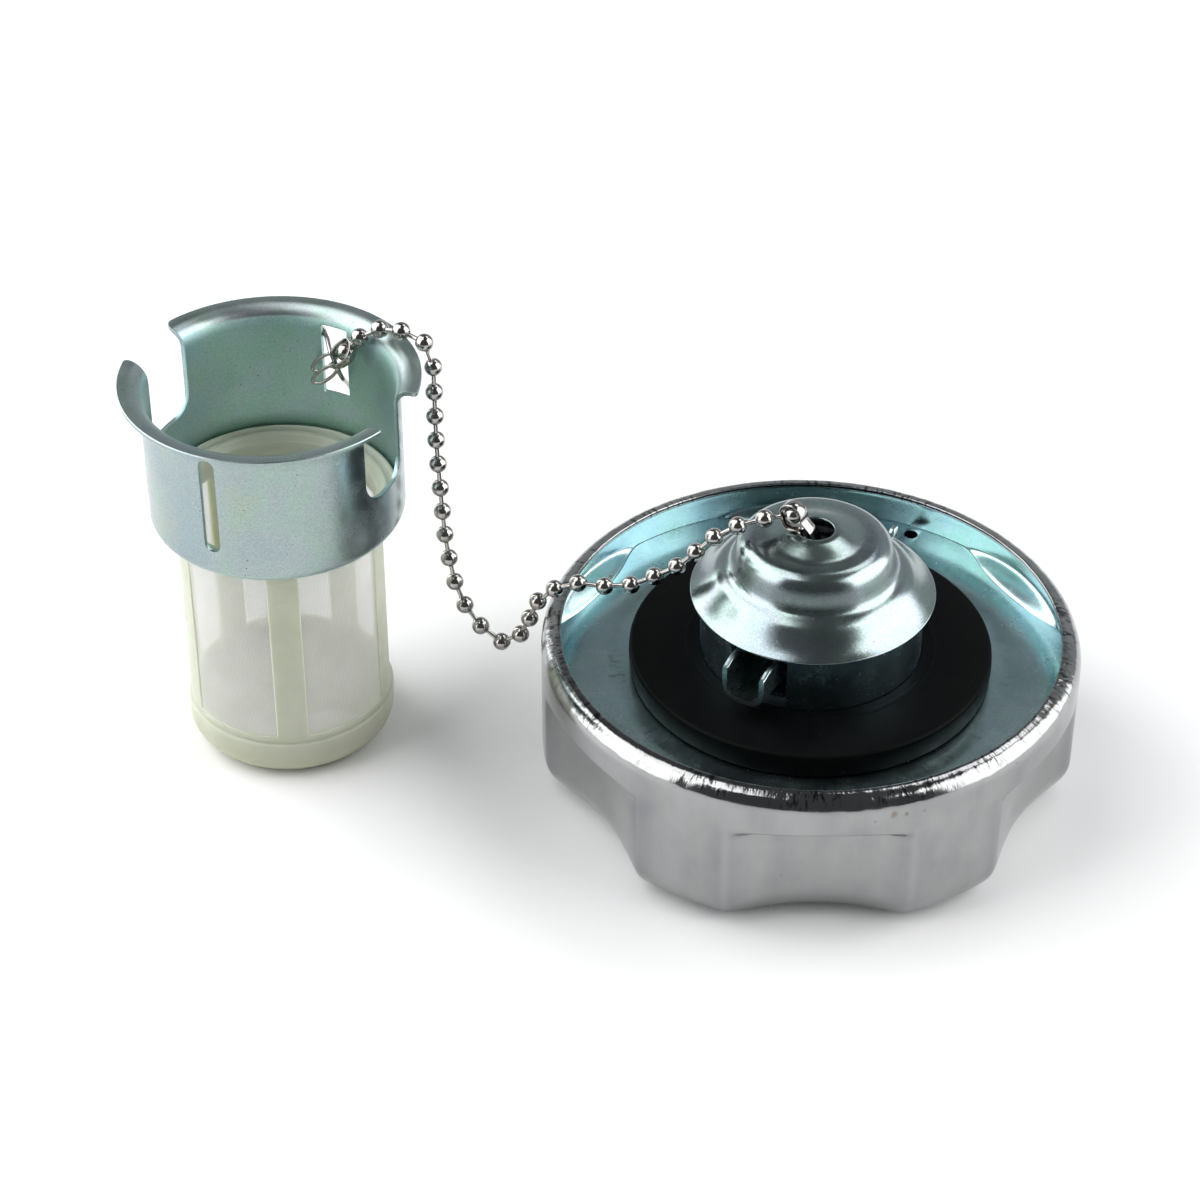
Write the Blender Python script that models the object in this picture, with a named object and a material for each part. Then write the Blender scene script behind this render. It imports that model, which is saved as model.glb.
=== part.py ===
"""Bayonet tank filler cap, resting upside down, with its neck strainer and bead chain.

Metres, +Z up.  The cap's own axis is the Z axis and its closed face lies on z = 0.
The strainer stands on the same plane, with its axis on -X.
"""
import math

import bmesh
import bpy
from mathutils import Matrix, Vector

MM = 0.001
GAP = 0.3            # running clearance between neighbouring pieces, mm
SEG = 48             # facets round a large turned piece

# Cover of the cap
COVER_R = 47.0
SHEET = 1.0
CORNER_R = 6.8
FLUTE_COUNT = 6
FLUTE_AZ = -82.5
FLUTE_HALF_DEG = 19.3
FLUTE_DEPTH_TOP = 4.3
FLUTE_DEPTH_BASE = 5.3
FLUTE_TOP_Z = 23.2
RIM_ROLL_R = 2.7
RIM_TOP_Z = 30.1
RIM_INNER_R = 43.6

# Inner parts of the cap
PLATE_TOP_Z = 22.3
VENT_XY = (15.36, 40.74)
VENT_R = 1.25
GASKET_R = 31.7
GASKET_TOP_Z = 27.1
NECK_R = 19.3
NECK_SHEET = 1.0
NECK_TOP_Z = 40.0
WINDOW_W = 10.8
WINDOW_LOW_Z = 29.2
BAR_AZ = -114.0
BAR_HALF = 24.0
BAR_W = 8.0
BAR_LOW_Z = 29.5
BAR_H = 7.4
BAR_SHEET = 0.9
DOME_SHEET = 0.8
DOME_HOLE_R = 3.2
RIVET_RING_R = 11.5

# Strainer
STRAINER_X = -93.6
COLLAR_R = 22.18
COLLAR_SHEET = 0.8
COLLAR_LOW_Z = 46.2
LIP_R = 25.8
LIP_TOP_Z = 73.8
NOTCH_AZ = -17.6
NOTCH_W = 11.9
NOTCH_LOW_Z = 57.2
SLOT_AZ = -106.4
WINDOW_AZ = 71.4
BASKET_R = 18.05
BASKET_SHEET = 0.85
BASE_R = 18.5
BASE_TOP_Z = 8.1
RIB_COUNT = 5
RIB_AZ = -76.4
RIB_W = 5.6

# Chain
CHAIN_R = 1.6


def clear_scene():
    for ob in list(bpy.data.objects):
        bpy.data.objects.remove(ob, do_unlink=True)


def material(name, rgb, rough, metal):
    mat = bpy.data.materials.new(name)
    mat.use_nodes = True
    shader = mat.node_tree.nodes["Principled BSDF"]
    shader.inputs["Base Color"].default_value = (rgb[0], rgb[1], rgb[2], 1.0)
    shader.inputs["Roughness"].default_value = rough
    shader.inputs["Metallic"].default_value = metal
    return mat


def add_object(name, verts, faces, look, at=(0.0, 0.0, 0.0), smooth=True):
    mesh = bpy.data.meshes.new(name)
    mesh.from_pydata([Vector(v) * MM for v in verts], [], faces)
    bm = bmesh.new()
    bm.from_mesh(mesh)
    bmesh.ops.recalc_face_normals(bm, faces=bm.faces)
    if bm.calc_volume(signed=True) < 0:
        bmesh.ops.reverse_faces(bm, faces=bm.faces)
    bm.to_mesh(mesh)
    bm.free()
    for poly in mesh.polygons:
        poly.use_smooth = smooth
    if look is not None:
        mesh.materials.append(look)
    ob = bpy.data.objects.new(name, mesh)
    ob.location = Vector(at) * MM
    bpy.context.collection.objects.link(ob)
    return ob


def spin(profile, count=SEG):
    """Closed outline of (radius, height) points turned round Z; radius 0 makes a pole."""
    verts = []
    rows = []
    for r, z in profile:
        if r < 1e-6:
            rows.append([len(verts)] * count)
            verts.append((0.0, 0.0, z))
        else:
            rows.append(list(range(len(verts), len(verts) + count)))
            for i in range(count):
                a = 2 * math.pi * i / count
                verts.append((r * math.cos(a), r * math.sin(a), z))
    faces = []
    for j, low in enumerate(rows):
        high = rows[(j + 1) % len(rows)]
        for i in range(count):
            k = (i + 1) % count
            ring = [low[i], low[k], high[k], high[i]]
            face = []
            for v in ring:
                if v not in face:
                    face.append(v)
            if len(face) > 2:
                faces.append(face)
    return verts, faces


def turned(name, profile, look, at=(0.0, 0.0, 0.0), count=SEG):
    verts, faces = spin(profile, count)
    return add_object(name, verts, faces, look, at)


def arc(cr, cz, radius, start, end, steps):
    points = []
    for i in range(steps + 1):
        a = math.radians(start + (end - start) * i / steps)
        points.append((cr + radius * math.cos(a), cz + radius * math.sin(a)))
    return points


def prism(outline, low, high, axes):
    """Straight bar: 2-D outline in the first two axes, extruded along the third."""
    u, v, w = [Vector(a) for a in axes]
    count = len(outline)
    verts = [u * p[0] + v * p[1] + w * low for p in outline]
    verts += [u * p[0] + v * p[1] + w * high for p in outline]
    faces = [list(range(count)), list(range(count, 2 * count))]
    for i in range(count):
        k = (i + 1) % count
        faces.append([i, k, k + count, i + count])
    return verts, faces


def cutter(name, verts, faces, at=(0.0, 0.0, 0.0)):
    ob = add_object(name, verts, faces, None, at, smooth=False)
    ob.hide_render = True
    ob.display_type = "WIRE"
    return ob


def cut(target, tool):
    mod = target.modifiers.new(tool.name, "BOOLEAN")
    mod.operation = "DIFFERENCE"
    mod.solver = "EXACT"
    mod.object = tool


def merge_bodies(parts):
    verts = []
    faces = []
    for more_verts, more_faces in parts:
        base = len(verts)
        verts += list(more_verts)
        faces += [[i + base for i in f] for f in more_faces]
    return verts, faces


def radial_axes(azimuth):
    a = math.radians(azimuth)
    outward = (math.cos(a), math.sin(a), 0.0)
    sideways = (-math.sin(a), math.cos(a), 0.0)
    return sideways, (0.0, 0.0, 1.0), outward


def rounded_slot(width, low, high, corner, top_corner=0.0, steps=5):
    half = width / 2
    outline = arc(half - corner, low + corner, corner, 0, -90, steps)
    outline += arc(-half + corner, low + corner, corner, -90, -180, steps)
    if top_corner > 0:
        outline += arc(-half + top_corner, high - top_corner, top_corner, 180, 90, steps)
        outline += arc(half - top_corner, high - top_corner, top_corner, 90, 0, steps)
    else:
        outline += [(-half, high), (half, high)]
    return outline


# ---------------------------------------------------------------- cover

def flute_offset(azimuth):
    """Share of the flute half-width between this azimuth and the nearest flute centre."""
    pitch = 360.0 / FLUTE_COUNT
    away = (azimuth - FLUTE_AZ + pitch / 2) % pitch - pitch / 2
    return abs(away) / FLUTE_HALF_DEG


def flute_depth(azimuth, z):
    share = flute_offset(azimuth)
    if share >= 1.0:
        return 0.0
    depth = FLUTE_DEPTH_BASE + (FLUTE_DEPTH_TOP - FLUTE_DEPTH_BASE) * z / FLUTE_TOP_Z
    return depth * (1.0 - share ** 2.2)


def cover_azimuths():
    shares = (-1.0, -0.86, -0.6, -0.2, 0.2, 0.6, 0.86, 1.0)
    pitch = 360.0 / FLUTE_COUNT
    result = []
    for k in range(FLUTE_COUNT):
        centre = FLUTE_AZ + k * pitch
        result += [centre + s * FLUTE_HALF_DEG for s in shares]
        gap = pitch - 2 * FLUTE_HALF_DEG
        result += [centre + FLUTE_HALF_DEG + gap * t for t in (0.33, 0.67)]
    return result


def cover_rows(azimuth):
    """Section of the cover at one azimuth: up the outside, over the rim, down the inside."""
    share = min(flute_offset(azimuth), 1.0)
    crease = FLUTE_TOP_Z - 1.3 * share ** 2
    ledge = 1.3
    rows = []
    wall = COVER_R - flute_depth(azimuth, 0.0)
    for r, z in arc(wall - CORNER_R, CORNER_R, CORNER_R, -90, 0, 3):
        rows.append((r, z))
    rows.append((COVER_R - flute_depth(azimuth, crease - ledge), crease - ledge))
    rows.append((COVER_R, crease))
    rows += arc(COVER_R - RIM_ROLL_R, RIM_TOP_Z - RIM_ROLL_R, RIM_ROLL_R, 0, 90, 3)
    rows.append((RIM_INNER_R, RIM_TOP_Z))
    rows.append((RIM_INNER_R, RIM_TOP_Z - SHEET))
    rows += arc(COVER_R - RIM_ROLL_R, RIM_TOP_Z - RIM_ROLL_R, RIM_ROLL_R - SHEET, 80, 0, 2)
    rows.append((COVER_R - SHEET, crease + 0.9))
    inner = COVER_R - SHEET
    rows.append((inner - flute_depth(azimuth, crease - ledge), crease - ledge + 0.9))
    inner_wall = inner - flute_depth(azimuth, 0.0)
    for r, z in arc(inner_wall - CORNER_R + SHEET, CORNER_R, CORNER_R - SHEET, 0, -90, 2):
        rows.append((r, z))
    return rows


def build_cover(look):
    columns = []
    azimuths = cover_azimuths()
    for az in azimuths:
        a = math.radians(az)
        columns.append([(r * math.cos(a), r * math.sin(a), z) for r, z in cover_rows(az)])
    height = len(columns[0])
    verts = [p for column in columns for p in column]
    outer_pole = len(verts)
    verts.append((0.0, 0.0, 0.0))
    inner_pole = len(verts)
    verts.append((0.0, 0.0, SHEET))
    faces = []
    total = len(columns)
    for i in range(total):
        k = (i + 1) % total
        for j in range(height - 1):
            faces.append([i * height + j, k * height + j, k * height + j + 1, i * height + j + 1])
        faces.append([outer_pole, k * height, i * height])
        faces.append([inner_pole, i * height + height - 1, k * height + height - 1])
    return add_object("cover_shell", verts, faces, look)


def build_plate(look):
    top = PLATE_TOP_Z
    low = top - SHEET
    edge_inset = 0.45
    outer = []
    for az in cover_azimuths():
        a = math.radians(az)
        r = COVER_R - SHEET - edge_inset - flute_depth(az, low)
        outer.append((r * math.cos(a), r * math.sin(a)))
    verts, faces = prism(outer, low, top, ((1, 0, 0), (0, 1, 0), (0, 0, 1)))
    plate = add_object("inner_plate", verts, faces, look, smooth=False)
    holes = []
    for x, y, r in [(VENT_XY[0], VENT_XY[1], VENT_R), (0.0, 0.0, 4.0)] + rivet_spots(1.75):
        ring = [(x + r * math.cos(math.tau * i / 12), y + r * math.sin(math.tau * i / 12)) for i in range(12)]
        holes.append(prism(ring, low - 2, top + 2, ((1, 0, 0), (0, 1, 0), (0, 0, 1))))
    tool = cutter("plate_holes_cutter", *merge_bodies(holes))
    cut(plate, tool)
    return plate


def rivet_spots(radius):
    spots = []
    for k in range(4):
        a = math.radians(BAR_AZ + 45 + 90 * k)
        spots.append((RIVET_RING_R * math.cos(a), RIVET_RING_R * math.sin(a), radius))
    return spots


# ---------------------------------------------------------------- cap insides

def build_neck_cup(look):
    floor = PLATE_TOP_Z + GAP
    inner = NECK_R - NECK_SHEET
    bead = 0.65
    profile = [(4.0, floor), (NECK_R - 1.5, floor)]
    profile += arc(NECK_R - 1.5, floor + 1.5, 1.5, -60, 0, 2)
    profile += [(NECK_R, NECK_TOP_Z - 1.0), (NECK_R + bead, NECK_TOP_Z - 0.6)]
    profile += [(NECK_R + bead, NECK_TOP_Z), (inner, NECK_TOP_Z)]
    profile += [(inner, floor + NECK_SHEET), (4.0, floor + NECK_SHEET)]
    cup = turned("neck_cup", profile, look)
    slot = rounded_slot(WINDOW_W, WINDOW_LOW_Z, NECK_TOP_Z - 1.4, 0.8, 0.8, 2)
    verts, faces = prism(slot, -NECK_R - 4, NECK_R + 4, radial_axes(BAR_AZ))
    windows = cutter("neck_window_cutter", verts, faces)
    cut(cup, windows)
    holes = []
    for x, y, r in rivet_spots(1.75):
        ring = [(x + r * math.cos(math.tau * i / 12), y + r * math.sin(math.tau * i / 12)) for i in range(12)]
        holes.append(prism(ring, floor - 1, floor + NECK_SHEET + 1, ((1, 0, 0), (0, 1, 0), (0, 0, 1))))
    cut(cup, cutter("neck_rivet_cutter", *merge_bodies(holes)))
    return cup


def build_rivets(look):
    low = PLATE_TOP_Z - SHEET - GAP
    high = PLATE_TOP_Z + GAP + NECK_SHEET + GAP
    profile = [(0.0, low - 1.1), (1.5, low - 0.9), (2.5, low - 0.3), (2.5, low), (1.4, low)]
    profile += [(1.4, high), (2.7, high), (2.4, high + 0.7), (1.4, high + 1.2), (0.0, high + 1.3)]
    for number, (x, y, _) in enumerate(rivet_spots(1.0)):
        verts, faces = spin(profile, 12)
        add_object("cup_rivet_%d" % (number + 1), verts, faces, look, (x, y, 0))


def build_gasket(look):
    hole = NECK_R + GAP
    low = PLATE_TOP_Z + GAP
    ease = 0.35
    profile = [(hole, low), (GASKET_R - ease, low), (GASKET_R, low + ease)]
    profile += [(GASKET_R, GASKET_TOP_Z - ease), (GASKET_R - ease, GASKET_TOP_Z), (hole, GASKET_TOP_Z)]
    return turned("sealing_gasket", profile, look)


def build_filter_pad(look):
    """Foam ring filling the breathing space between the closed face and the plate."""
    low = SHEET + 0.6
    high = PLATE_TOP_Z - SHEET - GAP - 1.1 - GAP
    profile = [(6.0, low), (34.0, low), (37.5, low + 3.5), (37.5, high), (6.0, high)]
    return turned("breather_pad", profile, look, count=48)


def dome_outline():
    outline = [(DOME_HOLE_R, 51.0), (8.0, 50.9), (11.2, 50.3), (13.5, 49.0), (14.8, 46.9)]
    outline += [(15.4, 45.2), (18.8, 43.6), (20.6, 41.7), (21.1, 39.8)]
    return outline


def build_dome(look):
    outer = dome_outline()
    inner = []
    for i, (r, z) in enumerate(outer):
        before = outer[max(i - 1, 0)]
        after = outer[min(i + 1, len(outer) - 1)]
        run = Vector((after[0] - before[0], after[1] - before[1])).normalized()
        inner.append((r + run[1] * DOME_SHEET, z - run[0] * DOME_SHEET))
    inner[0] = (DOME_HOLE_R, outer[0][1] - DOME_SHEET)
    inner[-1] = (outer[-1][0] - DOME_SHEET, outer[-1][1])
    hem = [(21.1, 38.8), (20.8, 38.5), (NECK_R + GAP, 38.5), (NECK_R + GAP, 38.95), (20.3, 38.95)]
    profile = outer + hem + inner[::-1]
    return turned("spring_dome", profile, look)


def channel_outline(width, height, sheet, corner):
    outer = rounded_slot(width, 0.0, height, corner, 0.0, 3)
    inner = rounded_slot(width - 2 * sheet, sheet, height, corner - sheet, 0.0, 3)
    return outer, inner


def build_bar(look):
    """Sheet channel across the cup, open side up, its ends cut back at a slant."""
    outer, inner = channel_outline(BAR_W, BAR_H, BAR_SHEET, 3.0)
    half_count = len(outer) - 2
    loop = outer[-1:] + outer[:half_count] + outer[half_count:half_count + 1]
    inside = inner[-1:] + inner[:half_count] + inner[half_count:half_count + 1]
    side, up, along = [Vector(a) for a in radial_axes(BAR_AZ)]
    verts = []
    for end in (-1.0, 1.0):
        for outline in (loop, inside):
            for u, v in outline:
                setback = 1.6 * max(0.0, v / BAR_H - 0.35)
                reach = end * (BAR_HALF - setback)
                verts.append(side * u + up * (v + BAR_LOW_Z) + along * reach)
    n = len(loop)
    faces = []
    for end in (0, 1):
        base = end * 2 * n
        for i in range(n - 1):
            faces.append([base + i, base + i + 1, base + n + i + 1, base + n + i])
    for part in (0, 1):
        base = part * n
        for i in range(n - 1):
            faces.append([base + i, base + i + 1, base + 2 * n + i + 1, base + 2 * n + i])
    for i in (0, n - 1):
        faces.append([i, n + i, 3 * n + i, 2 * n + i])
    return add_object("locking_bar", verts, faces, look, smooth=False)


def build_spring_seat(look):
    low = BAR_LOW_Z + BAR_H + GAP
    profile = [(3.0, low), (15.2, low), (15.2, low + 0.8), (3.0, low + 0.8)]
    return turned("spring_seat", profile, look, count=48)


def build_spring(look):
    wire = 0.85
    mean = 11.0
    low = BAR_LOW_Z + BAR_H + 2 * GAP + 0.8 + wire
    high = 49.3 - wire
    turns = 4
    per_turn = 12
    curve = bpy.data.curves.new("lock_spring", "CURVE")
    curve.dimensions = "3D"
    curve.bevel_depth = wire * MM
    curve.bevel_resolution = 1
    curve.use_fill_caps = True
    count = int(turns * per_turn)
    line = curve.splines.new("POLY")
    line.points.add(count)
    for i in range(count + 1):
        a = math.tau * i / per_turn
        z = low + (high - low) * i / count
        line.points[i].co = (mean * math.cos(a) * MM, mean * math.sin(a) * MM, z * MM, 1.0)
    curve.materials.append(look)
    ob = bpy.data.objects.new("lock_spring", curve)
    bpy.context.collection.objects.link(ob)
    return ob


# ---------------------------------------------------------------- strainer

def build_collar(look):
    inner = COLLAR_R - COLLAR_SHEET
    bend = 2.6
    low = COLLAR_LOW_Z
    seat_r = 18.4
    profile = [(seat_r, low)]
    profile += arc(COLLAR_R - 2.2, low + 2.2, 2.2, -90, 0, 3)
    profile += arc(COLLAR_R + bend, LIP_TOP_Z - COLLAR_SHEET - bend, bend, 180, 90, 4)
    profile += [(LIP_R, LIP_TOP_Z - COLLAR_SHEET), (LIP_R, LIP_TOP_Z)]
    profile += arc(COLLAR_R + bend, LIP_TOP_Z - COLLAR_SHEET - bend, bend + COLLAR_SHEET, 90, 180, 4)
    profile += arc(COLLAR_R - 2.2, low + 2.2, 2.2 - COLLAR_SHEET, 0, -90, 2)
    profile += [(seat_r, low + COLLAR_SHEET)]
    collar = turned("neck_collar", profile, look, (STRAINER_X, 0, 0), 54)
    notch = rounded_slot(NOTCH_W, NOTCH_LOW_Z, LIP_TOP_Z + 6, 4.0)
    verts, faces = prism(notch, -40, 40, radial_axes(NOTCH_AZ))
    cut(collar, cutter("notch_cutter", verts, faces, (STRAINER_X, 0, 0)))
    slot = rounded_slot(3.0, 51.8, 70.3, 1.45, 1.45, 4)
    verts, faces = prism(slot, 12, 40, radial_axes(SLOT_AZ))
    cut(collar, cutter("slot_cutter", verts, faces, (STRAINER_X, 0, 0)))
    window = [(-2.7, 57.4), (2.7, 57.4), (2.7, 71.3), (-2.7, 71.3)]
    verts, faces = prism(window, 12, 40, radial_axes(WINDOW_AZ))
    cut(collar, cutter("window_cutter", verts, faces, (STRAINER_X, 0, 0)))
    return collar


def sector_block(az_low, az_high, r_low, r_high, z_low, z_high, steps=4):
    ring = []
    for i in range(steps + 1):
        a = math.radians(az_low + (az_high - az_low) * i / steps)
        ring.append((r_high * math.cos(a), r_high * math.sin(a)))
    for i in range(steps + 1):
        a = math.radians(az_high + (az_low - az_high) * i / steps)
        ring.append((r_low * math.cos(a), r_low * math.sin(a)))
    return prism(ring, z_low, z_high, ((1, 0, 0), (0, 1, 0), (0, 0, 1)))


def build_basket(look):
    inner = BASKET_R - BASKET_SHEET
    seat = COLLAR_LOW_Z + COLLAR_SHEET + GAP
    top = seat + 2.8
    profile = [(5.0, 4.6), (14.6, 4.6), (15.4, 3.4), (15.5, 0.4), (16.0, 0.0), (16.4, 0.0)]
    profile += [(17.4, 0.7), (18.2, 2.2), (BASE_R, 4.2), (BASE_R, BASE_TOP_Z - 0.4)]
    profile += [(BASKET_R, BASE_TOP_Z), (BASKET_R, COLLAR_LOW_Z - 1.1), (18.75, COLLAR_LOW_Z - 0.75)]
    profile += [(18.75, COLLAR_LOW_Z - 0.45), (BASKET_R, COLLAR_LOW_Z - GAP), (BASKET_R, seat)]
    profile += [(20.2, seat), (20.95, seat + 0.8), (20.95, top - 0.3), (20.65, top)]
    profile += [(19.4, top), (19.1, top - 0.9), (inner, top - 1.2)]
    profile += [(inner, 6.3), (16.6, 5.7), (5.0, 5.7)]
    basket = turned("basket_frame", profile, look, (STRAINER_X, 0, 0), 40)
    pitch = 360.0 / RIB_COUNT
    rib_deg = math.degrees(RIB_W / BASKET_R)
    blocks = []
    for k in range(RIB_COUNT):
        start = RIB_AZ + k * pitch + rib_deg / 2
        end = RIB_AZ + (k + 1) * pitch - rib_deg / 2
        blocks.append(sector_block(start, end, 10.0, 24.0, 9.6, COLLAR_LOW_Z - 1.4))
        blocks.append(sector_block(start + 4, end - 4, 7.6, 13.6, 2.0, 8.0, 3))
    cut(basket, cutter("basket_window_cutter", *merge_bodies(blocks), (STRAINER_X, 0, 0)))
    return basket


def build_screens(look):
    outer = BASKET_R - BASKET_SHEET - GAP
    inner = outer - 0.6
    top = COLLAR_LOW_Z + 1.2
    sleeve = [(inner, 6.6), (outer, 6.6), (outer, top), (inner, top)]
    turned("side_screen", sleeve, look, (STRAINER_X, 0, 0), 40)
    disc = [(0.0, 6.0), (15.9, 6.0), (15.9, 6.4), (0.0, 6.4)]
    turned("floor_screen", disc, look, (STRAINER_X, 0, 0), 40)


# ---------------------------------------------------------------- chain and its ends

def smooth_points(route, spacing):
    """Points at an even spacing on a smooth curve through the route points, mm."""
    points = [Vector(p) for p in route]
    ends = [points[0] * 2 - points[1]] + points + [points[-1] * 2 - points[-2]]
    dense = []
    for i in range(1, len(ends) - 2):
        a, b, c, d = ends[i - 1:i + 3]
        for j in range(20):
            t = j / 20
            dense.append(0.5 * ((2 * b) + (c - a) * t + (2 * a - 5 * b + 4 * c - d) * t * t
                                + (3 * b - a - 3 * c + d) * t ** 3))
    dense.append(points[-1])
    length = sum((q - p).length for p, q in zip(dense, dense[1:]))
    count = max(2, round(length / spacing))
    result = [dense[0]]
    step = length / count
    travelled = 0.0
    for p, q in zip(dense, dense[1:]):
        piece = (q - p).length
        while travelled + piece >= step * len(result) and len(result) < count:
            result.append(p.lerp(q, (step * len(result) - travelled) / piece))
        travelled += piece
    result.append(dense[-1])
    return result


def wire(name, points, radius, look, resolution=2):
    curve = bpy.data.curves.new(name, "CURVE")
    curve.dimensions = "3D"
    curve.bevel_depth = radius * MM
    curve.bevel_resolution = resolution
    curve.use_fill_caps = True
    line = curve.splines.new("POLY")
    line.points.add(len(points) - 1)
    for target, p in zip(line.points, points):
        target.co = (p[0] * MM, p[1] * MM, p[2] * MM, 1.0)
    curve.materials.append(look)
    ob = bpy.data.objects.new(name, curve)
    bpy.context.collection.objects.link(ob)
    return ob


CHAIN_ROUTE = (
    (-82.2, 15.8, 71.3), (-80.9, 15.5, 73.1), (-77.1, 14.5, 75.6), (-72.7, 12.4, 76.7),
    (-68.5, 10.7, 75.5), (-67.2, 10.1, 70.5), (-67.2, 9.6, 65.7), (-67.0, 9.0, 56.1),
    (-66.4, 8.2, 46.5), (-65.7, 7.6, 37.0), (-63.8, 6.3, 27.7), (-61.4, 5.2, 23.3), (-58.2, 4.1, 19.9),
    (-55.2, 3.7, 18.2), (-52.2, 3.0, 20.3), (-50.2, 2.2, 24.6), (-48.7, 1.5, 29.1), (-45.7, 0.8, 32.9),
    (-41.5, 0.3, 35.2), (-36.7, -0.4, 35.6), (-31.9, -0.7, 36.5), (-27.7, -0.9, 38.9), (-23.7, -1.2, 41.6),
    (-20.4, -1.4, 45.2), (-17.3, -1.6, 48.8), (-13.3, -1.5, 51.6), (-10.5, -1.2, 52.8), (-6.5, -0.5, 53.6),
)

COLLAR_END = (-84.0, 16.3, 69.1)
EYE_TIP = (-90.9, 18.6, 62.1)
DOME_END = (-3.9, -0.1, 53.9)
PIN_AT = (-0.7, -0.9, 48.3)


def strip_loop(points, width_axis, width, thickness):
    """Closed loop of flat strip along centre-line points, its width lying along one axis."""
    side = Vector(width_axis).normalized()
    count = len(points)
    line = [Vector(p) for p in points]
    verts = []
    for i, p in enumerate(line):
        run = (line[(i + 1) % count] - line[i - 1]).normalized()
        out = run.cross(side).normalized() * thickness / 2
        half = side * width / 2
        verts += [p + half + out, p - half + out, p - half - out, p + half - out]
    faces = []
    for i in range(count):
        k = (i + 1) % count
        for j in range(4):
            m = (j + 1) % 4
            faces.append([4 * i + j, 4 * i + m, 4 * k + m, 4 * k + j])
    return verts, faces


def build_end_bead(name, centre, look):
    profile = [(0.0, -CHAIN_R)] + arc(0.0, 0.0, CHAIN_R, -67.5, 67.5, 6) + [(0.0, CHAIN_R)]
    return turned(name, profile, look, centre, 12)


def build_dome_clasp(look):
    """Strip hoop round the end bead, its legs passing down the dome's hole and round the pin."""
    x, y, z = PIN_AT
    loop = [(x, y, z - 1.5), (x - 1.1, y, z - 0.9), (x - 1.35, y, z + 0.9), (x - 1.4, y, 50.7),
            (-2.9, -0.8, 51.95), (-4.7, -0.5, 51.9), (-5.85, -0.3, 53.1), (-5.95, 0.0, 54.7),
            (-5.0, 0.2, 56.2), (-3.6, 0.3, 56.7), (-2.4, 0.3, 56.1), (-1.75, 0.1, 54.8),
            (-1.6, -0.3, 53.0), (-0.7, -0.7, 51.6), (x + 0.7, y, 50.2), (x + 1.25, y, z + 0.6), (x + 1.1, y, z - 0.9)]
    verts, faces = strip_loop(loop, (0.1, 1.0, 0.05), 1.7, 0.3)
    return add_object("dome_clasp", verts, faces, look)


def build_pin(look):
    x, y, z = PIN_AT
    points = [(x + 0.4, y - 4.0, z), (x, y, z), (x - 0.4, y + 4.0, z)]
    return wire("anchor_pin", points, 0.55, look, 1)


def build_collar_clasp(look):
    """Strip folded round the end bead into two parallel legs, each ending in an eye."""
    bead = Vector(COLLAR_END)
    along = (Vector(EYE_TIP) - bead).normalized()
    reach = (Vector(EYE_TIP) - bead).length
    across = along.cross(Vector((0.32, 0.95, 0.0))).normalized()
    flat = across.cross(along).normalized()
    cage = 1.9
    throat = 1.1
    sheet = 0.35
    back = 2.0
    outer = cage + sheet
    outline = [(-back - sheet, -1.2), (-1.2, -outer), (2.2, -outer), (3.6, -throat - sheet)]
    outline += [(reach, -throat - sheet), (reach, -throat), (3.8, -throat), (2.1, -cage)]
    outline += [(-1.0, -cage), (-back, -1.0), (-back, 1.0), (-1.0, cage), (2.1, cage), (3.8, throat)]
    outline += [(reach, throat), (reach, throat + sheet), (3.6, throat + sheet), (2.2, outer)]
    outline += [(-1.2, outer), (-back - sheet, 1.2)]
    low = -0.9
    high = 1.9
    verts, faces = prism(outline, low, high, (along, across, flat))
    clasp = add_object("collar_clasp", verts, faces, look, bead, smooth=False)
    hole = [(2.35, 0.5), (2.8, -0.4), (reach - 1.2, -0.4), (reach - 0.55, 0.5), (reach - 1.2, 1.4), (2.8, 1.4)]
    tools = [prism(hole, -5, 5, (along, flat, across))]
    shoulder = [(-4.0, 1.0), (2.2, 1.0), (3.0, 2.5), (-4.0, 2.5)]
    tools.append(prism(shoulder, -5, 5, (along, flat, across)))
    for edge, side in ((low, -1.0), (high, 1.0)):
        corner = [(reach - 1.2, edge + side), (reach - 1.2, edge), (reach + 0.5, edge - side),
                  (reach + 1.0, edge + side)]
        tools.append(prism(corner, -5, 5, (along, flat, across)))
    cut(clasp, cutter("eye_cutter", *merge_bodies(tools), bead))
    return clasp


def build_toggle(look):
    route = [(-89.9, 22.75, 71.2), (-89.1, 22.4, 69.3), (-88.1, 20.6, 68.6), (-87.2, 18.3, 67.9),
             (-86.6, 17.7, 66.95), (-85.9, 17.5, 65.0), (-85.4, 18.3, 62.6), (-85.2, 20.2, 60.4),
             (-84.9, 21.7, 58.6), (-84.3, 22.4, 56.4), (-84.1, 22.4, 55.2)]
    points = smooth_points(route, 1.3)
    return wire("toggle_wire", points, 0.42, look, 1)


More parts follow.
